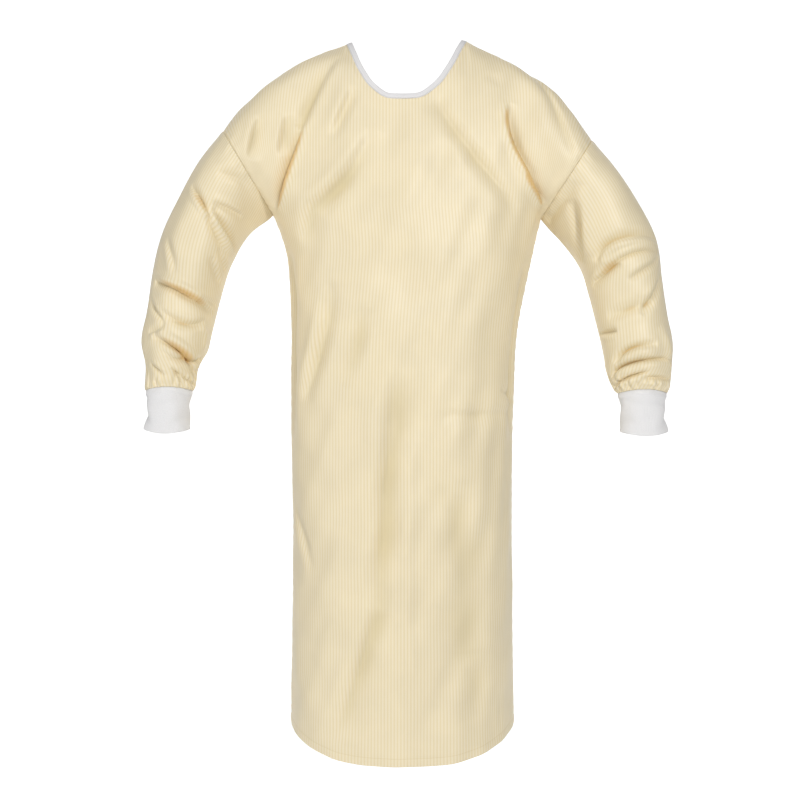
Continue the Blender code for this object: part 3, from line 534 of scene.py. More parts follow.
stitch_value = add_node(striped, "Attribute", {"attribute_name": "stitch"})
stitch_off = add_node(striped, "Math", {"operation": "ABSOLUTE"}, _0=stitch_value.outputs["Fac"])
stitch_on = add_node(striped, "MapRange", {}, _0=stitch_off, _1=0.0004, _2=0.0008, _3=0.3, _4=0.0)
sewn_tint = add_node(striped, "Mix", {"data_type": "RGBA"}, _0=stitch_on, _6=dyed.outputs[2], _7=linear(STITCHES))
weave = add_node(striped, "TexBrick", {"offset": 0.5}, Vector=cloth_map, Scale=1 / WEAVE_PITCH,
                 Color1=(1, 1, 1, 1), Color2=(0.8, 0.8, 0.8, 1), Mortar=(0, 0, 0, 1), Mortar_Size=0.08,
                 Mortar_Smooth=1.0, Brick_Width=1.0, Row_Height=0.5)
relief = add_node(striped, "Bump", {}, Strength=0.12, Distance=0.0003, Height=weave)
feed(striped, shader, Base_Color=sewn_tint.outputs[2], Normal=relief, Roughness=0.46, Specular_IOR_Level=0.42,
     Sheen_Weight=0.10, Sheen_Roughness=0.4)


def half_columns():
    """The values of u from centre to side: even along the neck, even along the shoulder, crowded at the seam."""
    return np.concatenate([np.linspace(0, NECK_SHARE, 33), np.linspace(NECK_SHARE, 0.985, 53)[1:],
                           [0.990, 0.995, 1.0]])


def add_cloth(name, node, grid, normals, stripe, run, trough, crease, stitch):
    # The trough and crease values go to the material as shares of painted shade and painted glow
    piece = add_shell(name, grid, grid - normals * CLOTH_THICK, {"cloth": (stripe, run)},
                      {"trough": trough, "crease": crease, "stitch": stitch})
    piece.data.materials.append(striped)
    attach(piece, "root")
    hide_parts(node)
    return piece


half = half_columns()
front_columns = np.concatenate([-half[::-1], half[1:]])
front = add_cloth("gown_front", "front_panel", *panel_grid(front_columns, "front"))

# Backs
# Two like pieces of the same cloth, sewn to the front at sides and shoulders. They lap at the centre, the picture's
# left one outside, from the neck to the hem, and each free edge is turned in and stitched down.
LAP = 0.036
LAP_LIFT = 0.0042

chest_half = lengths(skirt(np.linspace(0, 1, 60), 0, "back"))[-1]
lap_columns = np.linspace(-LAP / chest_half, 0, 12)[:-1]
lap_columns = np.concatenate([[lap_columns[0], lap_columns[0] + 0.006], lap_columns[1:]])
back_columns = np.concatenate([lap_columns, half])


def lap_lift(u):
    """How far the outer back is lifted off the one below: an S from nothing well before the centre to all of it."""
    return LAP_LIFT * ease(u, 0.42, 0.20)


for name, node, columns, lift in (
        ("gown_back_right", "back_right_panel", back_columns[::-1], np.zeros(len(back_columns))),
        ("gown_back_left", "back_left_panel", -back_columns, lap_lift(back_columns))):
    back = add_cloth(name, node, *panel_grid(columns, "back", lift))

# Sleeves
# Two long sleeves of the same cloth with a dropped shoulder, each with one seam along its underside. They bend a
# little at the elbow, lie in folds there, and are gathered in where the cuffs hold them.
# Rings below the armhole: centre x, y, z, half width, half depth, lean of the ring from upright in degrees
SLEEVE_RINGS = {
    "left": (
        (-0.2495, 0.000, -0.2100, 0.0745, 0.084, 31), (-0.3003, -0.004, -0.2707, 0.0623, 0.080, 56),
        (-0.3314, -0.010, -0.3320, 0.0589, 0.074, 67), (-0.3461, -0.018, -0.3868, 0.0564, 0.066, 75),
        (-0.3554, -0.030, -0.4431, 0.0527, 0.058, 79), (-0.3630, -0.042, -0.4901, 0.0500, 0.050, 82),
        (-0.3650, -0.050, -0.5200, 0.0400, 0.040, 86), (-0.3675, -0.058, -0.5562, 0.0366, 0.029, 90),
    ),
    "right": (
        (0.2568, 0.000, -0.2205, 0.0725, 0.084, 33), (0.3099, -0.004, -0.2859, 0.0671, 0.080, 56),
        (0.3401, -0.010, -0.3400, 0.0629, 0.074, 68), (0.3508, -0.018, -0.3932, 0.0576, 0.066, 77),
        (0.3592, -0.030, -0.4478, 0.0546, 0.058, 80), (0.3658, -0.042, -0.4925, 0.0534, 0.051, 83),
        (0.3655, -0.049, -0.5240, 0.0490, 0.043, 86), (0.3694, -0.058, -0.5601, 0.0382, 0.029, 90),
    ),
}
SLEEVE_BLEND = 0.36
SLEEVE_OUTWARD = {"left": -1, "right": 1}
CUFF_ARCH = 0.006
SLEEVE_ROUND = 0.40                         # cloth length once round, for the way to the underarm seam
ARMHOLE_HOLDS, CUFF_HOLDS, UNDERARM_HOLDS = 0.022, 0.012, 0.008
SLEEVE_RIPPLE = 0.0044
SLEEVE_SEED = {"left": 21, "right": 22}
# Depths for full painted trough shade and full painted gather glow, and the shares of painted shade and painted glow
# that deep troughs get
SLEEVE_TROUGH_FULL = 0.0115
GATHER_GLOW_FULL = 0.004
SLEEVE_TROUGH_SHARE, SLEEVE_GLOW_SHARE = 0.8, 0.95
STITCH_FAR = 1.0                            # no stitch line shows on a sleeve

# Folds of each sleeve, in the same form, with shares of the length and degrees round from the underarm seam: up
# to 180 on the front, past it on the back
SLEEVE_FOLDS = {
    "left": (
        (0.638, 16, 0.580, 84, 0.562, 144, 10, 3.5, 11.5, 4.5, 3),
        (0.604, 10, 0.590, 40, 0.592, 57, 6, 3.5, 5, 1, 0.5),
        (0.678, 36, 0.708, 69, 0.668, 123, 8, 4, 8, 2.5, 0.5),
        (0.704, 42, 0.746, 24, 0.810, 20, 6, 6, -4, 0, 0),
        (0.868, 50, 0.870, 26, 0.858, 6, 6, 3.5, 8.5, 2, 0.5),
        (0.732, 103, 0.696, 120, 0.642, 150, 5, 3.5, 5, 2, 0.5),
        (0.772, 137, 0.754, 116, 0.732, 103, 6, 3.5, 5, 2, 0.5),
        (0.930, 8, 0.836, 62, 0.776, 123, 9, 4, 12.5, 4.5, 3),
        (0.866, 52, 0.862, 76, 0.836, 106, 6, 3.5, 6, 2, 0.5),
        (0.980, 4, 0.942, 53, 0.906, 82, 4, 2.5, 5, 2, 0.5),
        (0.950, 95, 0.918, 113, 0.892, 136, 4, 2.5, 4.5, 2, 0.5),
        (0.402, 136, 0.456, 115, 0.512, 100, 8, 4, 5, 1, 0),
        (0.194, 134, 0.220, 102, 0.262, 74, 8, 2.5, 8.5, 3.5, 2.5),
        (0.208, 80, 0.266, 52, 0.336, 4, 8, 3, 8.5, 5, 2),
        (0.362, 30, 0.294, 63, 0.244, 82, 7, 3, 7, 3.5, 1.5),
        (0.158, 34, 0.172, 59, 0.194, 84, 8, 3.5, 6, 2.5, 0.5),
        (0.028, 50, 0.062, 78, 0.098, 100, 8, 6, 5, 2, 0),
        (0.508, 21, 0.450, 42, 0.398, 56, 7, 4, 5, 2, 0),
        (0.452, 10, 0.400, 32, 0.348, 48, 6, 4, 4.5, 1, 0),
        (0.976, 58, 0.948, 64, 0.918, 76, 4, 2.5, 4.5, 1, 0.5),
        (0.240, 230, 0.300, 280, 0.350, 340, 5, 10, 7.5, 1, 0),
        (0.420, 215, 0.450, 260, 0.470, 320, 9, 6, 6, 1, 0),
        (0.560, 210, 0.590, 270, 0.640, 345, 5, 10, 9, 2, 0),
        (0.690, 220, 0.680, 280, 0.700, 335, 9, 5, 6, 2.5, 1),
        (0.780, 215, 0.810, 285, 0.900, 350, 5, 9, 9, 2, 0),
        (0.100, 225, 0.120, 270, 0.090, 310, 7, 5, 4, 1, 0),
    ),
    "right": (
        (0.068, 70, 0.216, 54, 0.336, 35, 10, 10, -6, 0, 0),
        (0.358, 20, 0.208, 41, 0.072, 50, 11, 7, 9, 1, 0),
        (0.045, 5, 0.042, 35, 0.045, 75, 9, 9, 6, 0, 0),
        (0.390, 45, 0.336, 80, 0.394, 152, 9, 4, 8.5, 5, 0.5),
        (0.434, 146, 0.410, 94, 0.434, 37, 6, 3, 7.5, 2.5, 1.5),
        (0.432, 79, 0.442, 54, 0.486, 23, 9, 3.5, 10.5, 2, 2),
        (0.462, 145, 0.490, 110, 0.510, 84, 6, 4, 6.5, 1.5, 0),
        (0.534, 148, 0.608, 119, 0.666, 94, 8, 5, 7.5, 1.5, 0),
        (0.650, 40, 0.634, 81, 0.616, 120, 11, 7, 8, 1.5, 0),
        (0.716, 6, 0.720, 30, 0.718, 52, 5, 3.5, 8.5, 2.5, 0.5),
        (0.866, 36, 0.806, 66, 0.800, 115, 5, 5, 10.5, 2.5, 0.5),
        (0.934, 18, 0.872, 67, 0.870, 160, 5, 4, 12, 2.5, 1.5),
        (0.976, 2, 0.938, 65, 0.916, 100, 3.5, 3, 8.5, 2.5, 2),
        (0.950, 84, 0.946, 115, 0.948, 172, 4, 4, 7, 2, 0),
        (0.724, 128, 0.810, 141, 0.930, 150, 10, 10, -4.5, 0, 0),
        (0.250, 225, 0.310, 280, 0.360, 340, 10, 5, 7.5, 2, 0),
        (0.430, 215, 0.440, 270, 0.460, 330, 5, 9, 7.5, 2, 0),
        (0.570, 215, 0.600, 270, 0.650, 340, 10, 5, 7.5, 2, 1),
        (0.700, 215, 0.710, 275, 0.690, 335, 6, 10, 6, 1, 0),
        (0.820, 210, 0.830, 280, 0.880, 350, 9, 5, 9, 2.5, 1),
        (0.110, 230, 0.130, 275, 0.100, 315, 5, 7, 4, 1, 0),
    ),
}


def arm_cloth(share, degrees, side):
    """The smooth cloth of one sleeve: share 0 at the armhole to 1 at the cuff, degrees 0 to 360 round it.

    A ring is the ellipse w cos, d sin in the plane of its lean and Y. The first is the armhole itself, and the shape
    goes over from one to the other within the first third of the length.
    """
    share, degrees = np.broadcast_arrays(np.asarray(share, float), np.asarray(degrees, float))
    turn = np.radians(degrees)
    outward = SLEEVE_OUTWARD[side]
    rings = np.array(SLEEVE_RINGS[side])
    table = np.column_stack([lengths(rings[:, :3]), rings])
    x, y, z, wide, deep, lean = np.moveaxis(read_rows(table, share * table[-1, 0]), -1, 0)
    lean, first_lean = np.radians(lean), np.radians(rings[0, 5])
    rise = 1 - np.abs(1 - turn / np.pi)
    edge = np.full_like(rise, outward)
    hole = np.where((turn <= np.pi)[..., None], yoke(edge, rise, "front"), yoke(edge, rise, "back"))
    from_x, from_z = (hole[..., 0] - rings[0, 0]) * outward, hole[..., 2] - rings[0, 2]
    hole_out = from_x * np.sin(first_lean) + from_z * np.cos(first_lean)
    hole_off = from_x * np.cos(first_lean) - from_z * np.sin(first_lean)
    blend = ease(share, 0, SLEEVE_BLEND)
    out = (1 - blend) * hole_out * wide / rings[0, 3] - blend * wide * np.cos(turn)
    back = (1 - blend) * hole[..., 1] * deep / rings[0, 4] - blend * deep * np.sin(turn)
    off = (1 - blend) * hole_off
    arch = CUFF_ARCH * np.sin(turn)**2 * ease(share, 0.86, 1.0)
    return np.stack([x + outward * (np.sin(lean) * out + off * np.cos(lean)), y * blend + back,
                     z + np.cos(lean) * out - off * np.sin(lean) + arch], -1)


def sleeve_grid(side):
    """One sleeve over rows from the armhole to the cuff: points, normals, stripe, length, painted shade, painted
    glow, stitches.

    The gathers at the cuff are two cosine waves of unlike counts, so that no two are the same, which fade out over
    a length that wanders round the sleeve. The stripe coordinate is the length round from the top of the sleeve.
    A glow is painted into the gathers and deep troughs too, as into the sharp folds.
    """
    share = np.concatenate([[0, 0.004, 0.009], np.linspace(0.016, 0.86, 128), np.linspace(0.86, 0.985, 38)[1:],
                            [0.990, 0.995, 1.0]])[:, None]
    degrees = np.concatenate([[0, 1.0, 2.2], np.linspace(3.8, 356.2, 208), [357.8, 359.0, 360]])[None, :]
    flip = SLEEVE_OUTWARD[side]
    whole = lengths(np.array(SLEEVE_RINGS[side])[:, :3])[-1]

    def surface(a, b):
        return arm_cloth(a, b, side)

    def outward(a, b):
        return flip * steps_normal(surface, a, b, 0.004, 1.0, (0, -2), (1, 362))

    base, normal = surface(share, degrees), outward(share, degrees)
    share, degrees = np.broadcast_arrays(share, degrees)
    turn = np.radians(degrees)
    fold, shift = creases(base, surface, outward, SLEEVE_FOLDS[side])
    fold += ripples(base, SLEEVE_SEED[side], SLEEVE_RIPPLE) * (0.3 + 0.7 * np.abs(normal[..., 1]))
    to_cuff = (1 - share) * whole
    reach = 0.034 + 0.012 * np.sin(2 * turn + 1.1) + 0.008 * np.sin(5 * turn)
    gather = 0.0013 * np.cos(17 * turn + 0.7 * np.sin(3 * turn))
    gather += 0.0009 * np.cos(27 * turn + 1.3 * np.sin(2 * turn))
    gather *= ease(to_cuff, 0.0, 0.006) * (1 - ease(to_cuff, 0.35 * reach, reach))
    from_hole = share * whole
    under = np.minimum(degrees, 360 - degrees) / 360 * SLEEVE_ROUND
    seam_gap = np.minimum(from_hole, under)
    held = ease(from_hole, 0, ARMHOLE_HOLDS) * ease(to_cuff, 0, CUFF_HOLDS) * ease(under, 0, UNDERARM_HOLDS)
    pucker = PUCKER * 1.3 * np.sin(turn * 19 + 2 * np.sin(turn * 4)) * np.exp(-from_hole / PUCKER_REACH)
    sewn = -SEAM_DIP * np.exp(-(seam_gap / SEAM_DIP_WIDTH)**2) + pucker * ease(from_hole, 0, 0.004)
    grid = base + normal * (fold * held + gather + sewn)[..., None] + shift * held[..., None]
    round_arm = lengths(base, axis=1)
    stripe = round_arm - round_arm[:, [np.argmin(np.abs(degrees[0] - 180))]]
    # Painted shade in the troughs, and painted glow in sharp folds, gathers and deep troughs
    deep = painted_trough_share(fold, held, SLEEVE_TROUGH_FULL)
    crease = np.maximum.reduce([painted_glow_share(shift, held), np.clip(-gather / GATHER_GLOW_FULL, 0, 1),
                                SLEEVE_GLOW_SHARE * deep])
    return (grid, grid_normals(grid, flip), stripe, from_hole, SLEEVE_TROUGH_SHARE * deep, crease,
            np.full_like(crease, STITCH_FAR))


for side in ("left", "right"):
    grid, normals, *rest = sleeve_grid(side)
    if side == "left":
        grid, normals, rest = grid[:, ::-1], normals[:, ::-1], [values[:, ::-1] for values in rest]
    sleeve = add_cloth(f"gown_sleeve_{side}", f"sleeve_{side}", grid, normals, *rest)

# Cuffs
# A tube of fine white rib knit, doubled over on itself, sewn round the gathered end of each sleeve. It is slightly
# waisted by the elastic knit, and its doubled lower edge flares a little.
CUFF_THICK = 0.0020
CUFF_LENGTH = 0.060
RIBS = 84
CUFF_RINGS = ((0.000, 1.00, 1.00), (0.012, 0.93, 0.95), (0.036, 0.88, 0.92), (0.060, 0.99, 1.02))
CUFF_SHIFT = {"left": (-0.0020, -0.007), "right": (0.0012, -0.007)}
CUFF_ROUND = 0.21


def cuff_grid(side):
    """One cuff: waisted rings below the sleeve, fine ribs down it and the ridge of the seam allowance near its top.

    The radius gains 0.18 mm cos(84 turns) for the ribs, a 1 mm bell for the ridge 6 mm down, and slow waves.
    """
    end = np.array(SLEEVE_RINGS[side][-1])
    outward = SLEEVE_OUTWARD[side]
    last = CUFF_LENGTH - np.array([0.0010, 0.0005, 0.0])
    fall = np.concatenate([np.linspace(0, CUFF_LENGTH - 0.0015, 40), last])[:, None]
    turn = np.radians(np.linspace(0, 360, RIBS * 6 + 1))[None, :]
    wide, deep = (v[..., None] for v in read_rows(CUFF_RINGS, fall[:, 0]).T * end[3:5, None])
    rib = 0.00018 * np.cos(RIBS * turn) * ease(fall, 0, 0.004)
    ridge = 0.0010 * np.exp(-((fall - 0.0064 - 0.001 * np.sin(turn * 3)) / 0.0020)**2)
    crumple = 0.0012 * np.sin(fall / 0.0052 + 1.7 * np.sin(turn * 2 + 0.6) + turn) * ease(fall, 0.006, 0.02)
    crumple += 0.0006 * np.sin(turn * 5 + fall / 0.016)
    tuck = -0.0010 * ease(fall, 0.003, 0.0) - 0.0008 * ease(fall, CUFF_LENGTH - 0.0016, CUFF_LENGTH)
    proud = rib + ridge + (crumple + tuck) * ease(fall, -0.001, 0.004)
    share = fall / CUFF_LENGTH
    shift_x, shift_y = CUFF_SHIFT[side]
    z = end[2] - fall + CUFF_ARCH * np.sin(turn)**2 * (1 - 2.1 * share)

    def tube(more):
        x = end[0] + shift_x * share - outward * (wide + more) * np.cos(turn)
        y = end[1] + shift_y * share - (deep + more) * np.sin(turn)
        return np.stack(np.broadcast_arrays(x, y, z), -1)

    across, along = np.broadcast_arrays(turn / (2 * np.pi) * CUFF_ROUND, fall)
    return tube(proud), tube(proud - rib - ridge - CUFF_THICK), across, along


# Rib knit, cotton and polyester: matt white, rows of small loops across the ribs. Loops are about 1 mm high.
LOOP_PITCH = 0.0011
FUZZ_SIZE = 1 / 900           # metres: about as large as a loop
YARN_DARK, YARN_LIGHT = "#E5E4E4", "#F0EFEF"
knit, shader = new_material("white rib knit")
knit_map = add_node(knit, "UVMap", {"uv_map": "cloth"})
knit_place = add_node(knit, "SeparateXYZ", _0=knit_map)
loop_turns = add_node(knit, "Math", {"operation": "MULTIPLY"}, _0=knit_place.outputs[1],
                      _1=2 * np.pi / LOOP_PITCH)
loop_wave = add_node(knit, "Math", {"operation": "SINE"}, _0=loop_turns)
fuzz = add_node(knit, "TexNoise", {}, Vector=knit_map, Scale=1 / FUZZ_SIZE, Detail=2.0)
loop_height = add_node(knit, "Math", {"operation": "MULTIPLY_ADD"}, _0=fuzz, _1=0.8, _2=loop_wave)
knit_relief = add_node(knit, "Bump", {}, Strength=0.30, Distance=0.0004, Height=loop_height)
yarn = add_node(knit, "MapRange", {}, _0=fuzz, _1=0.3, _2=0.7)
knit_tint = add_node(knit, "Mix", {"data_type": "RGBA"}, _0=yarn, _6=linear(YARN_DARK), _7=linear(YARN_LIGHT))
feed(knit, shader, Base_Color=knit_tint.outputs[2], Normal=knit_relief, Roughness=0.85, Specular_IOR_Level=0.25,
     Sheen_Weight=0.25)

for side in ("left", "right"):
    outer, inner, across, along = (grid[:, ::-SLEEVE_OUTWARD[side]] for grid in cuff_grid(side))
    cuff = add_shell(f"gown_cuff_{side}", outer, inner, {"cloth": (across, along)}, {})
    cuff.data.materials.append(knit)
    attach(cuff, "root")
    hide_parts(f"cuff_{side}")

# Neck binding
# A strip of white woven cotton, folded over the raw edge of the round neck and stitched down through both layers
# near its lower edge. It runs from one end of the lapped back round the front to the other.
BINDING_WIDTH = 0.0082
BINDING_HALF = 0.0013
BINDING_CLOTH = 0.0005
BINDING_UNDER = 0.0012


def neck_edge():
    """The cut neck edge with the cloth's normals there: the under back, round the front, and the outer back."""
    even = np.linspace(0, NECK_SHARE, 45)
    past = np.linspace(lap_columns[0], 0, 12)[:-1]
    lines = []
    for face, columns, lift in (("back", np.concatenate([past, even]), 0), ("front", even[-2::-1], 0),
                                ("front", -even[1:-1], 0), ("back", -np.concatenate([past, even])[::-1], 1)):
        cut = 1 + neck_cut(columns, face)

        def surface(a, b):
            return body_cloth(a, b, face)

        normal = -FACING[face] * steps_normal(surface, columns, cut, 0.004, 0.004, (-1, 0), (1, 2))
        line = surface(columns, cut) + normal * (lift * lap_lift(-columns))[:, None]
        lines.append((line, normal))
    return (np.concatenate(part) for part in zip(*lines))


def binding_grids():
    """The folded strip: a U with its closed side on the opening, swept along the neck edge, and its inner side.

    The section runs from the outer lower edge up over the fold and down to the inner lower edge. The strip bulges
    0.25 mm between its stitches and its fold, and dips 0.35 mm at the stitches.
    """
    edge, normal = neck_edge()
    along = np.gradient(edge, axis=0)
    along -= normal * (along * normal).sum(-1, keepdims=True)
    upward = unit(np.cross(along, normal))
    middle = edge - normal * CLOTH_THICK / 2
    turn = np.radians(np.linspace(0, 180, 9))
    round_top = BINDING_WIDTH - BINDING_HALF + BINDING_HALF * np.sin(turn)
    leg = np.array([0.0, 0.0005, 0.0010, 0.0014, 0.0019, 0.0028, 0.0040, 0.0055]) - BINDING_UNDER
    height = np.concatenate([leg, round_top, leg[::-1]])
    out = np.concatenate([np.full(8, BINDING_HALF), BINDING_HALF * np.cos(turn), np.full(8, -BINDING_HALF)])
    side = np.sign(out)
    dip = -0.00035 * np.exp(-((height - 0.0002) / 0.0006)**2) + 0.00025 * np.exp(-((height - 0.0035) / 0.0018)**2)
    run = lengths(edge)
    wave = 0.00025 * np.sin(run / 0.0063 + np.sin(run / 0.021))[:, None] * ease(height, 0.007, 0.0)[None, :]
    outer_off = (out + side * dip)[None, :] + side[None, :] * wave
    inner_height = np.where(height > BINDING_WIDTH - BINDING_HALF,
                            BINDING_WIDTH - BINDING_HALF + (height - BINDING_WIDTH + BINDING_HALF)
                            * (BINDING_HALF - BINDING_CLOTH) / BINDING_HALF, height)
    inner_off = outer_off - (out / BINDING_HALF * BINDING_CLOTH)[None, :]
    outer = middle[:, None] + upward[:, None] * height[None, :, None] + normal[:, None] * outer_off[..., None]
    inner = middle[:, None] + upward[:, None] * inner_height[None, :, None] + normal[:, None] * inner_off[..., None]
    across = lengths(np.stack([height, out], -1))
    return outer, inner, *np.broadcast_arrays(run[:, None], across[None, :])


# White plain-weave cotton binding: matt, with a fine crosswise rib and a row of stitches near its lower edge.
RIB_PITCH = 0.0009
STITCH_LENGTH = 0.0026
LINT_SIZE = 1 / 700           # metres: about 1.4 mm, coarser than life, so that it shows close up
LINT_DARK, LINT_LIGHT, THREAD = "#DDDBDC", "#E8E7E7", "#C4C1BE"
binding_cloth, shader = new_material("white cotton binding")
binding_map = add_node(binding_cloth, "UVMap", {"uv_map": "cloth"})
binding_place = add_node(binding_cloth, "SeparateXYZ", _0=binding_map)
rib_turns = add_node(binding_cloth, "Math", {"operation": "MULTIPLY"}, _0=binding_place, _1=2 * np.pi / RIB_PITCH)
rib_wave = add_node(binding_cloth, "Math", {"operation": "SINE"}, _0=rib_turns)
lint = add_node(binding_cloth, "TexNoise", {}, Vector=binding_map, Scale=1 / LINT_SIZE, Detail=2.0)
rib_height = add_node(binding_cloth, "Math", {"operation": "MULTIPLY_ADD"}, _0=lint, _1=1.0, _2=rib_wave)
rib_relief = add_node(binding_cloth, "Bump", {}, Strength=0.2, Distance=0.0003, Height=rib_height)
stitch_turns = add_node(binding_cloth, "Math", {"operation": "MULTIPLY"}, _0=binding_place, _1=1 / STITCH_LENGTH)
stitch_part = add_node(binding_cloth, "Math", {"operation": "FRACT"}, _0=stitch_turns)
stitch_there = add_node(binding_cloth, "Math", {"operation": "LESS_THAN"}, _0=stitch_part, _1=0.75)
stitch_near = add_node(binding_cloth, "Math", {"operation": "COMPARE"}, _0=binding_place.outputs[1], _1=0.0014,
                       _2=0.0003)
stitch_mask = add_node(binding_cloth, "Math", {"operation": "MULTIPLY"}, _0=stitch_there, _1=stitch_near)
lint_tint = add_node(binding_cloth, "Mix", {"data_type": "RGBA"}, _0=lint, _6=linear(LINT_DARK),
                     _7=linear(LINT_LIGHT))
binding_tint = add_node(binding_cloth, "Mix", {"data_type": "RGBA"}, _0=stitch_mask, _6=lint_tint.outputs[2],
                        _7=linear(THREAD))
feed(binding_cloth, shader, Base_Color=binding_tint.outputs[2], Normal=rib_relief, Roughness=0.85,
     Specular_IOR_Level=0.25, Sheen_Weight=0.15)

outer, inner, across, along = binding_grids()
binding = add_shell("gown_neck_binding", outer, inner, {"cloth": (across, along)}, {})
binding.data.materials.append(binding_cloth)
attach(binding, "root")
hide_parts("neck_binding")

# Snaps
# Two pressed brass caps with a dull nickel plating, one under the binding at the top of the lap and one at the waist.
# Each is a low dome with a rolled rim, clinched through the outer back.
CAP_SIDES = 48
# Cap profile: share of the radius, share of the height
CAP_PROFILE = ((0.00, 0.78), (0.25, 0.80), (0.48, 0.74), (0.62, 0.60), (0.70, 0.52), (0.78, 0.60), (0.86, 0.92),
               (0.92, 1.00), (0.97, 0.92), (1.00, 0.70), (0.99, 0.40), (0.93, 0.12), (0.88, 0.00), (0.00, 0.00))

# Nickel plating on pressed brass, tumbled: a dull grey metal, worn unevenly, so that its gloss varies a little.
WEAR_SIZE = 1 / 700           # metres
PLATE_LIGHT, PLATE_DARK = "#C9C7C0", "#B9B6AE"
plated, shader = new_material("nickel-plated pressed brass")
cap_place = add_node(plated, "TexCoord")
cap_wear = add_node(plated, "TexNoise", {}, Vector=cap_place.outputs["Object"], Scale=1 / WEAR_SIZE, Detail=3.0)
cap_dull = add_node(plated, "MapRange", {}, _0=cap_wear, _1=0.3, _2=0.7, _3=0.24, _4=0.40)
cap_tint = add_node(plated, "Mix", {"data_type": "RGBA"}, _0=cap_wear, _6=linear(PLATE_LIGHT),
                    _7=linear(PLATE_DARK))
feed(plated, shader, Base_Color=cap_tint.outputs[2], Roughness=cap_dull, Metallic=1.0)


def add_cap(node):
    """One cap of a snap, turned from its profile round the axis of its CAD node, which is its thinnest direction."""
    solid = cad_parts[node].data
    corners = np.empty(len(solid.vertices) * 3)
    solid.vertices.foreach_get("co", corners)
    corners = np.unique(np.round(corners.reshape(-1, 3), 7), axis=0)
    centre = (corners.min(0) + corners.max(0)) / 2
    axes = np.linalg.svd(corners - corners.mean(0), full_matrices=False)[2]
    axis = axes[2] * np.sign(axes[2][1])
    high = np.ptp(corners @ axis)
    radius = np.linalg.norm(np.cross(corners - centre, axis), axis=-1).max()
    profile = np.array(CAP_PROFILE)
    turn = np.linspace(0, 2 * np.pi, CAP_SIDES, endpoint=False)
    ring = np.outer(np.cos(turn), axes[0]) + np.outer(np.sin(turn), np.cross(axis, axes[0]))
    middle = profile[1:-1]
    points = centre + ring[None] * middle[:, None, :1] * radius + (middle[:, None, 1:] - 0.5) * high * axis
    top, base = (centre + (profile[n, 1] - 0.5) * high * axis for n in (0, -1))
    points = np.concatenate([points.reshape(-1, 3), [top, base]])
    index = np.arange(len(middle) * CAP_SIDES).reshape(len(middle), CAP_SIDES)
    after = np.roll(index, -1, axis=1)
    quads = np.stack([index[:-1], index[1:], after[1:], after[:-1]], -1).reshape(-1, 4).tolist()
    crown = [(index.size, a, b) for a, b in zip(index[0].tolist(), after[0].tolist())]
    sole = [(index.size + 1, b, a) for a, b in zip(index[-1].tolist(), after[-1].tolist())]
    mesh = bpy.data.meshes.new(f"{node}_cap")
    mesh.from_pydata(points.tolist(), [], quads + crown + sole)
    mesh.polygons.foreach_set("use_smooth", np.ones(len(mesh.polygons), bool))
    mesh.update()
    cap = add_object(mesh.name, mesh)
    cap.data.materials.append(plated)
    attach(cap, "root")
    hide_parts(node)


add_cap("neck_snap")
add_cap("waist_snap")

# Studio
# A plain white sweep of paper, soft lamps as for the picture of a garment, and the camera level with the middle of
# the gown. The paper glows behind the gown, and less and less towards the camera and the sides.
PAPER = "#F7F7F7"
paper, shader = new_material("white studio paper")
paper_place = add_node(paper, "TexCoord")
paper_axes = add_node(paper, "SeparateXYZ", _0=paper_place.outputs["Object"])
paper_glow = add_node(paper, "MapRange", {"interpolation_type": "SMOOTHSTEP"}, _0=paper_axes.outputs[1], _1=-0.9,
                      _2=0.6, _3=0.02, _4=0.58)
paper_off = add_node(paper, "Math", {"operation": "ABSOLUTE"}, _0=paper_axes)
paper_sides = add_node(paper, "MapRange", {"interpolation_type": "SMOOTHSTEP"}, _0=paper_off, _1=1.5, _2=2.8,
                       _3=1.0, _4=0.1)
paper_lit = add_node(paper, "Math", {"operation": "MULTIPLY"}, _0=paper_glow, _1=paper_sides)
feed(paper, shader, Base_Color=linear(PAPER), Roughness=0.9, Emission_Color=(1, 1, 1, 1),
     Emission_Strength=paper_lit)

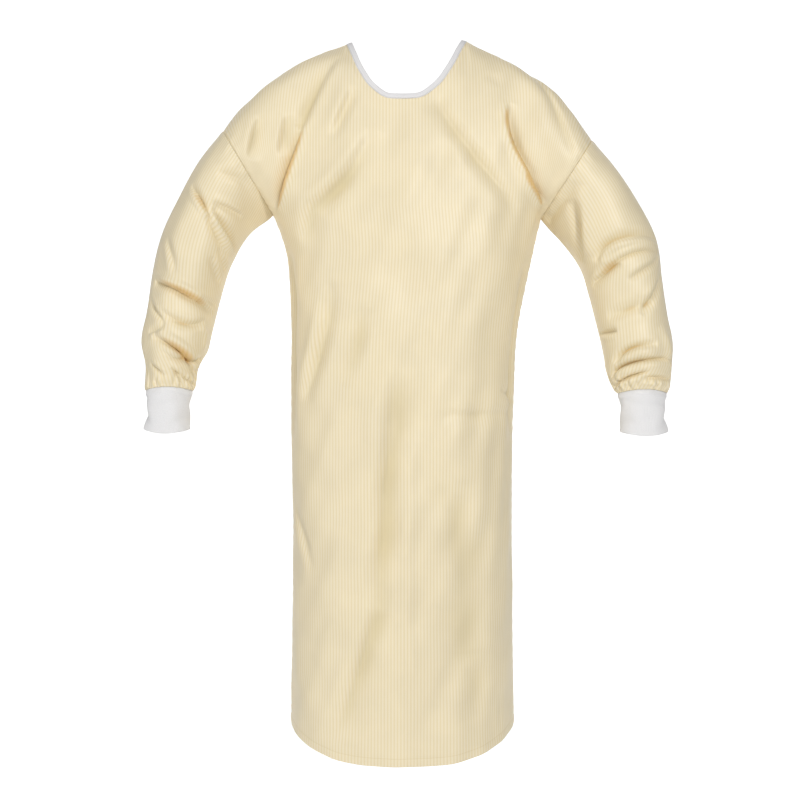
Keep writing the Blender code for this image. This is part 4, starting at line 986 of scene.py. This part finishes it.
FLOOR_HEIGHT, SWEEP_START, SWEEP_RADIUS, SWEEP_TOP, SWEEP_HALF = -1.42, 1.9, 0.9, 3.2, 4.5
bend = np.radians(np.linspace(0, 90, 17))
sweep_y = np.concatenate([[-4.5], SWEEP_START + SWEEP_RADIUS * np.sin(bend), [SWEEP_START + SWEEP_RADIUS]])
sweep_z = np.concatenate([[FLOOR_HEIGHT], FLOOR_HEIGHT + SWEEP_RADIUS * (1 - np.cos(bend)), [SWEEP_TOP]])
sweep_points = [(x, y, z) for x in (-SWEEP_HALF, SWEEP_HALF) for y, z in zip(sweep_y.tolist(), sweep_z.tolist())]
count = len(sweep_y)
mesh = bpy.data.meshes.new("paper_sweep")
mesh.from_pydata(sweep_points, [], [(n, n + count, n + count + 1, n + 1) for n in range(count - 1)])
mesh.polygons.foreach_set("use_smooth", np.ones(count - 1, bool))
sweep = add_object("paper_sweep", mesh)
sweep.data.materials.append(paper)

world = bpy.context.scene.world or bpy.data.worlds.new("studio")
bpy.context.scene.world = world
world.use_nodes = True
world.node_tree.nodes["Background"].inputs["Color"].default_value = (1, 1, 1, 1)
world.node_tree.nodes["Background"].inputs["Strength"].default_value = 0.14

# Lamps: place, the point that they face, size in metres, watts
LAMPS = (
    ("key", (1.2, -3.7, 0.9), (0.05, 0, -0.85), 0.6, 79),
    ("fill", (-2.6, -2.2, -0.2), (0, 0, -0.8), 1.4, 27),
    ("top", (-0.3, -1.6, 2.9), (0, 0, -0.6), 0.7, 24),
)
for name, place, aim, size, watts in LAMPS:
    lamp = bpy.data.lights.new(name, "AREA")
    lamp.shape, lamp.size, lamp.energy = "SQUARE", size, watts
    holder = add_object(name, lamp)
    holder.location = place
    holder.rotation_mode = "QUATERNION"
    holder.rotation_quaternion = (Vector(aim) - Vector(place)).to_track_quat("-Z", "Y")

lens = bpy.data.cameras.new("camera")
lens.sensor_width, lens.lens = 36.0, 64.7
camera = add_object("camera", lens)
camera.location = (-0.008, -2.3, -0.571)
camera.rotation_euler = (np.pi / 2, 0, 0)
bpy.context.scene.camera = camera
bpy.context.scene.view_settings.view_transform = "Standard"
